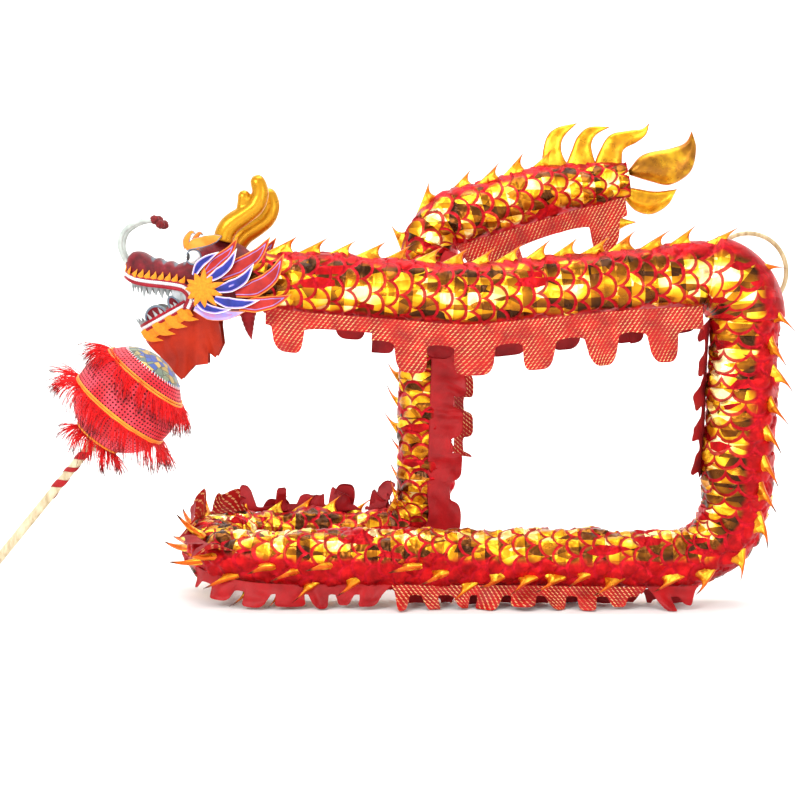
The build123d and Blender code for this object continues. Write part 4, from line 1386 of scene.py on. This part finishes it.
def teeth():
    """Upper fangs under the lip, and the white panels of the jaw with a maroon arch behind each."""
    lip = curve([HINGE + q for q in LIP], 900)
    out = outward_of(lip, -0.14)
    along = lengths(lip)
    kept = (along > 0.062) & (along < along[-1] - 0.062)
    lip, out, along = lip[kept] - out[kept] * 0.011, out[kept], along[kept]
    deep = 0.013 + 0.036 * zigzag(along, 0.0188, 2)
    t = np.linspace(0, 1, 9)
    inward = out[:, None] * (0.011 * t)[None, :, None]
    points = lip[:, None] - UP * (deep[:, None] * t)[..., None] - inward
    shape = Shape()
    slab(shape, points, out, 0.0028)
    placed(welded(shape.build("upper_fangs", TEETH_FOAM)), "head", ["upper_teeth"])

    rim = rim_line(0.004, 0.006, 700)
    rim_out = outward_of(rim, -0.1)
    place = np.abs(lengths(rim) - lengths(rim)[-1] / 2)
    end = lengths(rim)[-1] / 2

    def arch(x, centre, half, height):
        return height * np.sqrt(np.clip(1 - ((x - centre) / half) ** 2, 0, 1))

    from_back = end - place
    first = arch(from_back, 0.1, 0.036, 0.04)
    second = arch(from_back, 0.036, 0.021, 0.04)
    front = 0.01 + 0.02 * zigzag(place + 0.004, 0.014, 4) * (place < 0.034)
    height = np.maximum(np.maximum(first, second), front)
    height = np.maximum(height, 0.03 * smooth(0.02, 0.0, from_back))
    outward = rim_out[:, None] * (0.004 * t)[None, :, None]
    points = rim[:, None] + JAW_UP * (height[:, None] * t)[..., None] + outward
    panel = Shape()
    slab(panel, points, rim_out, 0.003)
    placed(welded(panel.build("jaw_teeth_panel", TEETH_FOAM)), "jaw", ["lower_teeth"])

    # Middle and half width of an arch, length of its fangs, and where they stand in it.
    big_arch = (0.1, 0.031, 0.026, (0.2, 0.5, 0.8))
    small_arch = (0.036, 0.0165, 0.018, (0.35, 0.72))
    gums, fangs, border = Shape(), Shape(), Shape()
    for side in (NEAR, FAR):
        for centre, half, tooth, shares in (big_arch, small_arch):
            base = np.flatnonzero((np.abs(from_back - centre) < half) & ((rim[:, 1] - HINGE[1]) * side > 0))
            base = base[::max(len(base) // 40, 1)]
            height = arch(from_back[base], centre, half, 0.035)
            grid = (rim[base][:, None] + JAW_UP * (height[:, None] * t)[..., None]
                    + rim_out[base][:, None] * (0.004 * t + 0.0024)[None, :, None])
            slab(gums, grid, rim_out[base], 0.0016)
            outline = grid[:, -1] + rim_out[base] * 0.001
            border.tube(spaced(outline, 30), 0.0022, normal=rim_out[base][0], count=8)
            for share in shares:
                k = base[int(share * (len(base) - 1))]
                foot = rim[k] + rim_out[k] * 0.005
                tip = foot + JAW_UP * tooth + JAW_WAY * 0.003 + rim_out[k] * 0.003
                line = curve([foot, (foot + tip) / 2, tip], 8)
                leaf(fangs, line, [(0, 0.0062), (0.5, 0.0042), (1, 0.0003)], 0.0022, rim_out[k], count=10)
    placed(gums.build("jaw_gums", MAROON), "jaw")
    placed(fangs.build("jaw_fangs", TEETH_FOAM), "jaw")
    placed(border.build("jaw_gum_piping", BLUE_GREY), "jaw")


def mouth_corners():
    """White cloth that closes the corners of the mouth."""
    for side, name in ((NEAR, "near"), (FAR, "far")):
        top = head_curve([
            (-0.052, side * 0.07, 0.018), (-0.02, side * 0.077, 0.008), (-0.004, side * 0.083, -0.008),
            (-0.002, side * 0.084, -0.03)], 40)
        low = curve([jaw(0.046, side * 0.058, 0.006), jaw(0.03, side * 0.062, 0.006),
                     jaw(0.012, side * 0.066, 0.006), jaw(-0.002, side * 0.07, 0.004)], 40)
        t = np.linspace(0, 1, 24)[None, :, None]
        points = top[:, None] * (1 - t) + low[:, None] * t
        pleat = 0.003 * np.sin(np.linspace(0, 9, 40))[:, None] * np.sin(np.pi * t[..., 0])
        points = points + vec(0, side, 0) * pleat[..., None]
        shape = Shape()
        slab(shape, points, vec(0, side, 0), 0.0018)
        made = welded(shape.build(f"mouth_corner_{name}", WHITE_CLOTH))
        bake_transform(made)


def beard():
    """Orange cloth bag under the jaw, ragged below."""
    outline = [(0.088, -0.1), (0.094, -0.155), (0.074, -0.195), (0.05, -0.178), (0.05, -0.214),
               (0.01, -0.218), (-0.03, -0.262), (-0.085, -0.202), (-0.135, -0.15)]
    share = np.linspace(0, 1, 130)
    low = spaced(np.array([(x, 0, z) for x, z in outline]), 130)
    top_x = np.interp(share, [0, 0.15, 1], [0.086, 0.06, -0.146])
    on_jaw = JAW_BACK + np.outer((JAW_BACK[0] - top_x) / 0.875, JAW_WAY)
    top_z = np.where(top_x < -0.006, on_jaw[:, 2] - 0.014, -0.052 - 0.35 * (top_x + 0.006))
    half = table(top_x, [(-0.146, 0.004), (-0.135, 0.024), (-0.1, 0.046), (-0.04, 0.06), (0.086, 0.068)])
    t = np.linspace(0, 1, 40)
    sides = []
    for side in (NEAR, FAR):
        z = top_z[:, None] * (1 - t) + low[:, None, 2] * t
        xx = top_x[:, None] * (1 - t) + low[:, None, 0] * t
        folds = 0.007 * np.sin(xx / 0.011 + 1.5 * lattice_noise(stacked(xx / 0.05, z / 0.05, 0), side + 3))
        yy = half[:, None] * (1 - 0.45 * t ** 1.2) + folds * t
        sides.append(stacked(xx, side * yy, z))
    points = HINGE + np.concatenate([sides[0], sides[1][::-1]])
    count = len(share)
    out = np.repeat([FRONT, -FRONT], count, axis=0)
    ramp = np.linspace(-1, 1, 2 * count)
    out = unit(out * np.abs(ramp)[:, None] ** 0.3 + np.outer(np.exp(-(ramp / 0.12) ** 2), vec(-1, 0, 0)))
    shape = Shape()
    slab(shape, points, out, 0.0018)
    made = placed(welded(shape.build("beard_flap", BEARD_CLOTH)), "jaw", ["beard"])


def eyes_and_brows():
    """Glossy balls with a black pupil and a grey rim, under curled felt brows."""
    eye_radius, pupil_radius, rim_radius = 0.0205, 0.0115, 0.0215
    whites, pupils, rims, brow = Shape(), Shape(), Shape(), Shape()
    for side in (NEAR, FAR):
        centre = head(0.017, side * 0.084, 0.103)
        gaze = unit(vec(-0.85, side * 0.5, 0.05))
        up = unit(UP - gaze * (UP @ gaze))
        left = np.cross(up, gaze)
        angle = np.linspace(-math.pi / 2, math.pi / 2, 25)
        ball = np.maximum(eye_radius * np.cos(angle), 0.0003)
        whites.rings(centre + np.outer(np.sin(angle), gaze) * eye_radius, left, up, ball, ball, 32)
        bulge = np.linspace(0, 1, 7)
        disc = pupil_radius * np.cos(bulge * 1.45)
        pupils.rings(centre + np.outer(0.0165 + 0.0052 * np.sin(bulge * 1.5), gaze), left, up, disc, disc, 28)
        ring = np.linspace(0.3, 2 * math.pi - 0.3, 40)
        round_eye = np.outer(np.cos(ring), -RIGHT) * rim_radius + np.outer(np.sin(ring), UP) * rim_radius
        rims.tube(centre + side * vec(0, 0.003, 0) + round_eye, 0.0022, normal=vec(0, side, 0), count=8)
        y = side * 0.098
        line = head_curve([(0.1, y, 0.164), (0.075, y, 0.155), (0.045, y * 1.05, 0.147),
                           (0.018, y * 1.04, 0.14), (-0.002, y * 0.98, 0.124)], 30)
        widths = [(0, 0.002), (0.15, 0.012), (0.4, 0.017), (0.75, 0.016), (1, 0.004)]
        leaf(brow, line, widths, 0.008, (0, side, 0.25), count=18)
        hook = head_curve([(0.002, y, 0.13), (-0.003, y, 0.148), (0.004, y, 0.166), (0.014, y, 0.176),
                           (0.024, y, 0.17)], 24)
        leaf(brow, hook, [(0, 0.012), (0.5, 0.0095), (0.8, 0.006), (1, 0.0015)], 0.006, (0, side, 0))
    placed(whites.build("eye_whites", EYE_WHITE), "head", ["eyes"])
    placed(pupils.build("eye_pupils", EYE_BLACK), "head")
    placed(rims.build("eye_rims", BLUE_GREY), "head")
    placed(brow.build("brow_scrolls", BROW_FELT), "head", ["brows"])


def sunbursts():
    """Padded eleven-point suns on the cheeks."""
    levels = [(0.05, 0.0062), (0.35, 0.006), (0.7, 0.0048), (0.94, 0.0026), (1.0, 0.0), (0.96, -0.003),
              (0.05, -0.003)]
    shape = Shape()
    for side in (NEAR, FAR):
        centre = head(0.043, side * 0.109, 0.01)
        angle = np.linspace(0, 2 * math.pi, 221)[:-1]
        spike = (1 - np.abs(2 * (angle / (2 * math.pi) * 11 % 1) - 1)) ** 1.1
        outer = 0.034 + spike * (0.024 + 0.008 * np.cos(angle) + 0.003 * np.sin(angle * 5))
        flat = stacked(np.cos(angle), 0, np.sin(angle))
        grid = np.array([
            centre + flat * (outer * reach)[:, None] + vec(0, side * rise, 0) for reach, rise in levels])
        uv = stacked(angle[None], np.array([[1 - q[0]] for q in levels]))
        shape.patch(grid, wrap=True, uv=uv, flip=side == NEAR)
        shape.cap(grid[0], flip=side == FAR)
        shape.cap(grid[-1], flip=side == NEAR)
    placed(shape.build("cheek_suns", ORANGE_FELT), "head", ["cheek_rosettes"])


# Leaves of the mane: colour, distance out, flare, middle line in x and z from the hinge, half width.
MANE = [
    ("red", 0.101, 0.016, [(0.045, 0.05), (0.085, 0.09), (0.122, 0.118), (0.15, 0.161)], 0.019),
    ("red", 0.1, 0.018, [(0.098, 0.045), (0.15, 0.075), (0.205, 0.11), (0.245, 0.163)], 0.025),
    ("red", 0.102, 0.018, [(0.14, 0.0), (0.2, 0.015), (0.25, 0.05), (0.284, 0.113)], 0.027),
    ("red", 0.104, 0.016, [(0.15, -0.04), (0.2, -0.036), (0.255, -0.026), (0.305, -0.006)], 0.023),
    ("blue", 0.107, 0.012, [(0.02, 0.05), (0.036, 0.08), (0.062, 0.1), (0.094, 0.118)], 0.013),
    ("blue", 0.108, 0.013, [(0.06, 0.036), (0.09, 0.055), (0.122, 0.082), (0.147, 0.128)], 0.0155),
    ("blue", 0.108, 0.013, [(0.085, 0.008), (0.125, 0.018), (0.165, 0.04), (0.196, 0.084)], 0.018),
    ("blue", 0.109, 0.012, [(0.08, -0.018), (0.12, -0.03), (0.165, -0.032), (0.212, -0.022)], 0.0165),
    ("blue", 0.104, 0.008, [(0.02, -0.018), (0.05, -0.042), (0.085, -0.052), (0.128, -0.05)], 0.0135),
    ("lilac", 0.1, 0.012, [(0.02, -0.045), (0.07, -0.064), (0.12, -0.066), (0.168, -0.056)], 0.018)]


def mane():
    """Fans of satin leaves behind the cheeks."""
    colours = ("red", "blue", "lilac")
    for side, node in ((NEAR, "mane_left"), (FAR, "mane_right")):
        shape = Shape()
        for colour, y, flare, line, width in MANE:
            last = len(line) - 1
            points = [(x, side * (y + flare * k / last), z) for k, (x, z) in enumerate(line)]
            widths = [(0, 0.55 * width), (0.3, width), (0.62, 0.82 * width), (0.86, 0.36 * width),
                      (1, 0.0004)]
            leaf(shape, head_curve(points, 36), widths, 0.0032, (0, side, 0.12), colours.index(colour), 26)
        made = shape.build("mane_leaves_" + node[5:], MANE_RED, MANE_BLUE, MANE_LILAC)
        placed(made, "head", [node])


def horn_branch(shape, points, widths, rounding, rows, count):
    """Stuffed branch whose tip is rounded off from a share of its length on."""
    line = head_curve(points, rows)
    share = np.linspace(0, 1, rows)
    into_tip = ((share - rounding) / (1.001 - rounding)).clip(0, 1)
    radius = table(share, widths) * np.sqrt(np.clip(1 - into_tip ** 2, 0.002, 1))
    shape.tube(line, radius, count=count)


def horns():
    """Two stuffed antlers, each a stem with one prong; the far one shows behind the near one."""
    stem = [(0.1, 0.15), (0.108, 0.178), (0.128, 0.203), (0.164, 0.227), (0.196, 0.252), (0.211, 0.287),
            (0.205, 0.318), (0.189, 0.339)]
    prong = [(0.158, 0.222), (0.16, 0.25), (0.163, 0.272), (0.163, 0.3)]
    stem_widths = [(0, 0.03), (0.2, 0.031), (0.5, 0.028), (0.8, 0.0245), (1, 0.022)]
    shape = Shape()
    for side, dx, dz in ((NEAR, 0, 0), (FAR, 0.024, -0.034)):
        y = side * 0.052
        line = [(x + dx, y * (1 + 0.15 * k / 7), z + dz) for k, (x, z) in enumerate(stem)]
        horn_branch(shape, line, stem_widths, 0.9, 60, 32)
        line = [(x + dx, y * 1.08, z + dz) for x, z in prong]
        horn_branch(shape, line, [(0, 0.018), (0.4, 0.019), (1, 0.02)], 0.72, 30, 28)
    made = merged(shape.build("horns_stuffed", HORN_FOIL), 0.0028)
    placed(made, "head", ["horns"])


def whiskers():
    """Springy feelers that rise from the nose, each with a tuft of two pompoms."""
    route = [(-0.191, 0.024, 0.088), (-0.207, 0.027, 0.132), (-0.199, 0.031, 0.172), (-0.172, 0.035, 0.197),
             (-0.14, 0.038, 0.21), (-0.112, 0.04, 0.211)]
    for side, name, node in ((NEAR, "left", "whisker_left"), (FAR, "right", "whisker_right")):
        line = head_curve([(x, side * y, z) for x, y, z in route], 60)
        tube = Shape()
        tube.tube(line, 0.0078, count=16)
        placed(tube.build(f"whisker_tube_{name}", WHISKER), name + "_whisker", [node])
        tuft = Shape()
        angle = np.linspace(-math.pi / 2, math.pi / 2, 30)
        for centre in (head(-0.102, side * 0.041, 0.213), head(-0.086, side * 0.041, 0.2)):
            ring = np.linspace(0, 2 * math.pi, 41)[:-1]
            way = np.stack([np.outer(np.cos(angle), np.cos(ring)), np.outer(np.cos(angle), np.sin(ring)),
                            np.outer(np.sin(angle), np.ones(40))], -1)
            size = 0.0135 * (1 + 0.14 * lattice_noise((way + centre * 40) * 4.1, 3))
            ball = centre + way * size[..., None]
            tuft.patch(ball, wrap=True)
        placed(tuft.build(f"whisker_pompom_{name}", POMPOM), name + "_whisker")


def socket_sleeve():
    """Red cloth sleeve that hangs over the pole socket and ends in a point."""
    line = head_curve([(0.166, 0, -0.05), (0.168, 0, -0.085), (0.172, 0, -0.118), (0.177, 0, -0.143)], 30)
    share = np.linspace(0, 1, 30)
    radius = table(share, [(0, 0.03), (0.3, 0.021), (0.7, 0.0115), (1, 0.001)])
    shape = Shape()
    shape.tube(line, radius * (1 + 0.05 * np.sin(share * 40)), normal=FRONT, count=24)
    placed(shape.build("socket_sleeve", LINING), "head", ["head_socket"])


EYE_WHITE = plastic("eye_white", "#ECEEEC", "#FFFFFF", 0.15, Coat_Weight=0.6)
EYE_BLACK = plastic("eye_black", "#0A0A0C", "#16161A", 0.15, Coat_Weight=0.6)
WHISKER = plastic("whisker_plastic", "#A4ACA6", "#C6CEC8", 0.25)
POMPOM = felt("pompom_wool", "#4A0206", "#8A0A12")
BROW_FELT = banded("brow_felt", ((0.0, "#5A6470", "#8896A0"), (0.0026, "#F0801C", "#FF9A34")), 0.6)

head_skin()
trims()
jaw_body()
teeth()
mouth_corners()
beard()
eyes_and_brows()
sunbursts()
mane()
horns()
whiskers()
socket_sleeve()


# ---- Pearl ------------------------------------------------------------------------------------------------

PEARL = JOINT["pearl_spin"]
PEARL_AXIS = unit(np.array(next(j["axis"] for j in frame["joints"] if j["name"] == "pearl_spin")))
PEARL_RADIUS = 0.1515
CAP_HEIGHT = 0.121      # where the end patch starts, from the ball's middle
PEARL_SIDE = FRONT
PEARL_UP = unit(np.cross(PEARL_AXIS, PEARL_SIDE))
RINGS = (0.085, -0.034, -0.14)      # heights of the piping along the ball's axis


def on_pearl(height, angle, radius=PEARL_RADIUS):
    """Point on the ball: height along its axis, and angle round it."""
    height, angle = np.broadcast_arrays(height, angle)
    ring = np.sqrt(np.maximum(radius ** 2 - height ** 2, 0))
    aside = PEARL_SIDE * (ring * np.cos(angle))[..., None]
    upward = PEARL_UP * (ring * np.sin(angle))[..., None]
    return PEARL + PEARL_AXIS * height[..., None] + aside + upward


def pearl():
    """Net ball, its three rings of piping, and the patch with its stitches on the end."""
    turn = np.linspace(0, 2 * math.pi, 145)
    lat = np.linspace(-math.pi / 2 + 0.01, math.pi / 2 - 0.01, 90)
    shape = Shape()
    grid = on_pearl(PEARL_RADIUS * np.sin(lat)[:, None], turn[None, :-1])
    uv = stacked(turn[None] / (2 * math.pi), lat[:, None])
    shape.patch(grid, wrap=True, uv=uv, flip=True)
    shape.cap(grid[0])
    shape.cap(grid[-1], flip=True)
    placed(shape.build("pearl_net_ball", PEARL_NET), "pearl", ["pearl_ball"])

    piping = Shape()
    for height in RINGS:
        for shift, radius in ((-0.0035, 0.0036), (0.0035, 0.003)):
            places = turn[np.linspace(0, 144, 121).astype(int)]
            ring = on_pearl(height + shift, places, PEARL_RADIUS + 0.0015)
            t = tangents(ring)
            normal = unit(ring - PEARL)
            piping.rings(ring, np.cross(t, normal), normal, radius, radius, 10)
    placed(piping.build("pearl_piping", PIPING_ORANGE), "pearl", ["pearl_trims"])

    cap = Shape()
    reach = np.linspace(0.0, math.acos(CAP_HEIGHT / PEARL_RADIUS), 16)
    dome = on_pearl((PEARL_RADIUS + 0.002) * np.cos(reach)[:, None], turn[None, :-1], PEARL_RADIUS + 0.002)
    cap.patch(dome[1:], wrap=True)
    cap.cap(dome[1], flip=True)
    placed(cap.build("pearl_cap_patch", BROCADE), "pearl", ["pearl_cap"])
    stitches = Shape()
    for k in range(64):
        a = 2 * math.pi * k / 64
        ends = on_pearl(vec(0.1235, 0.1185), vec(a, a + 0.03), PEARL_RADIUS + 0.0025)
        stitches.tube(spaced(ends, 4), 0.0011, normal=PEARL_AXIS, count=6)
    placed(stitches.build("pearl_stitches", BRAID), "pearl")


def fringe(name, height, count, length, seed):
    """Dense stiff fringe that springs out of a piping ring and droops."""
    chance = np.random.default_rng(seed)
    angle = (np.arange(count) + chance.random(count)) * 2 * math.pi / count
    radial = PEARL_SIDE * np.cos(angle)[:, None] + PEARL_UP * np.sin(angle)[:, None]
    facing = np.abs(radial[:, 1])
    clump = np.stack([lattice_noise(stacked(angle * 5, k, seed), 3) for k in (1, 5, 9)], -1)
    way = unit(radial * (1.0 - 0.62 * facing[:, None] ** 2) - PEARL_AXIS * 0.45 + clump * 0.45
               + chance.normal(size=(count, 3)) * 0.16)
    size = length * (0.75 + 0.45 * chance.random(count))
    place = on_pearl(np.full(count, height - 0.003), angle, PEARL_RADIUS + 0.002)
    path = [place]
    steps = 8
    for _ in range(steps):
        droop = 0.07 + 0.26 * facing[:, None]
        way = unit(way + vec(0, 0, -1) * droop + chance.normal(size=(count, 3)) * 0.05)
        place = place + way * size[:, None] / steps
        rel = place - PEARL
        away = np.linalg.norm(rel, axis=1, keepdims=True)
        near = PEARL_RADIUS + 0.003 + 0.004 * chance.random((count, 1))
        place = np.where(away < near, PEARL + rel * near / away, place)
        path.append(place)
    path = np.stack(path, 1)
    path[..., 1] = np.clip(path[..., 1], CAD_BOX[0][1] - 0.02, None)
    shape = Shape()
    thin = np.linspace(0.00115, 0.0006, steps + 1)
    share = np.linspace(0, 1, steps + 1)
    for strand in path:
        t, n = carried(strand, PEARL_AXIS)
        shape.rings(strand, np.cross(t, n), n, thin, thin, 3, along=share)
    return placed(shape.build(name, FRINGE), "pearl")


def pole_ribbon():
    """Red ribbon wound down the pole below the ball, and again near the grip."""
    low, high = JOINT["pole_lean"], PEARL - PEARL_AXIS * (PEARL_RADIUS + 0.01)
    way = unit(high - low)
    across = unit(np.cross(way, FRONT))
    other = np.cross(way, across)
    t = np.linspace(0, 1, 160)
    for name, start, end, turns in (("top", 0.72, 0.97, 3.2), ("grip", 0.06, 0.3, 3.0)):
        angle = t * turns * 2 * math.pi
        centre = low + (high - low) * (start + (end - start) * t)[:, None]
        out = across * np.cos(angle)[:, None] + other * np.sin(angle)[:, None]
        shape = Shape()
        width = 0.011 + 0.003 * np.sin(t * 9)
        shape.rings(centre + out * 0.0142, way, out, width, 0.0011, 10)
        placed(shape.build("pole_ribbon_" + name, RED_SATIN), "pole")


BROCADE = brocade()
PEARL_NET = pearl_net()
PIPING_ORANGE = cloth("piping_orange", "#F07010", "#FFAA3A", sheen=0.3, rough=0.45)
FRINGE = fringe_thread()
HUB = plastic("hub_plastic", "#7A0A12", "#A81420", 0.4)
POLE_WOOD = wood("pole_wood", "#B09A74", "#E2D2B0", (1.0, 1.0, 0.25))

pearl()
fringe("pearl_fringe_high", RINGS[0], 620, 0.082, 11)
fringe("pearl_fringe_middle", RINGS[1], 700, 0.086, 12)
fringe("pearl_fringe_low", RINGS[2], 320, 0.074, 13)
pole_ribbon()


# ---- Close ------------------------------------------------------------------------------------------

# The hoops, the pole and its bushes stay as CAD nodes, and only get their materials.
finishes = {"pearl_pole": POLE_WOOD, "pearl_hubs": HUB}
for name, node in frame["nodes"].items():
    finish = WOOD if name.startswith("hoops_") else finishes.get(name)
    if finish:
        node.data.materials.clear()
        node.data.materials.append(finish)
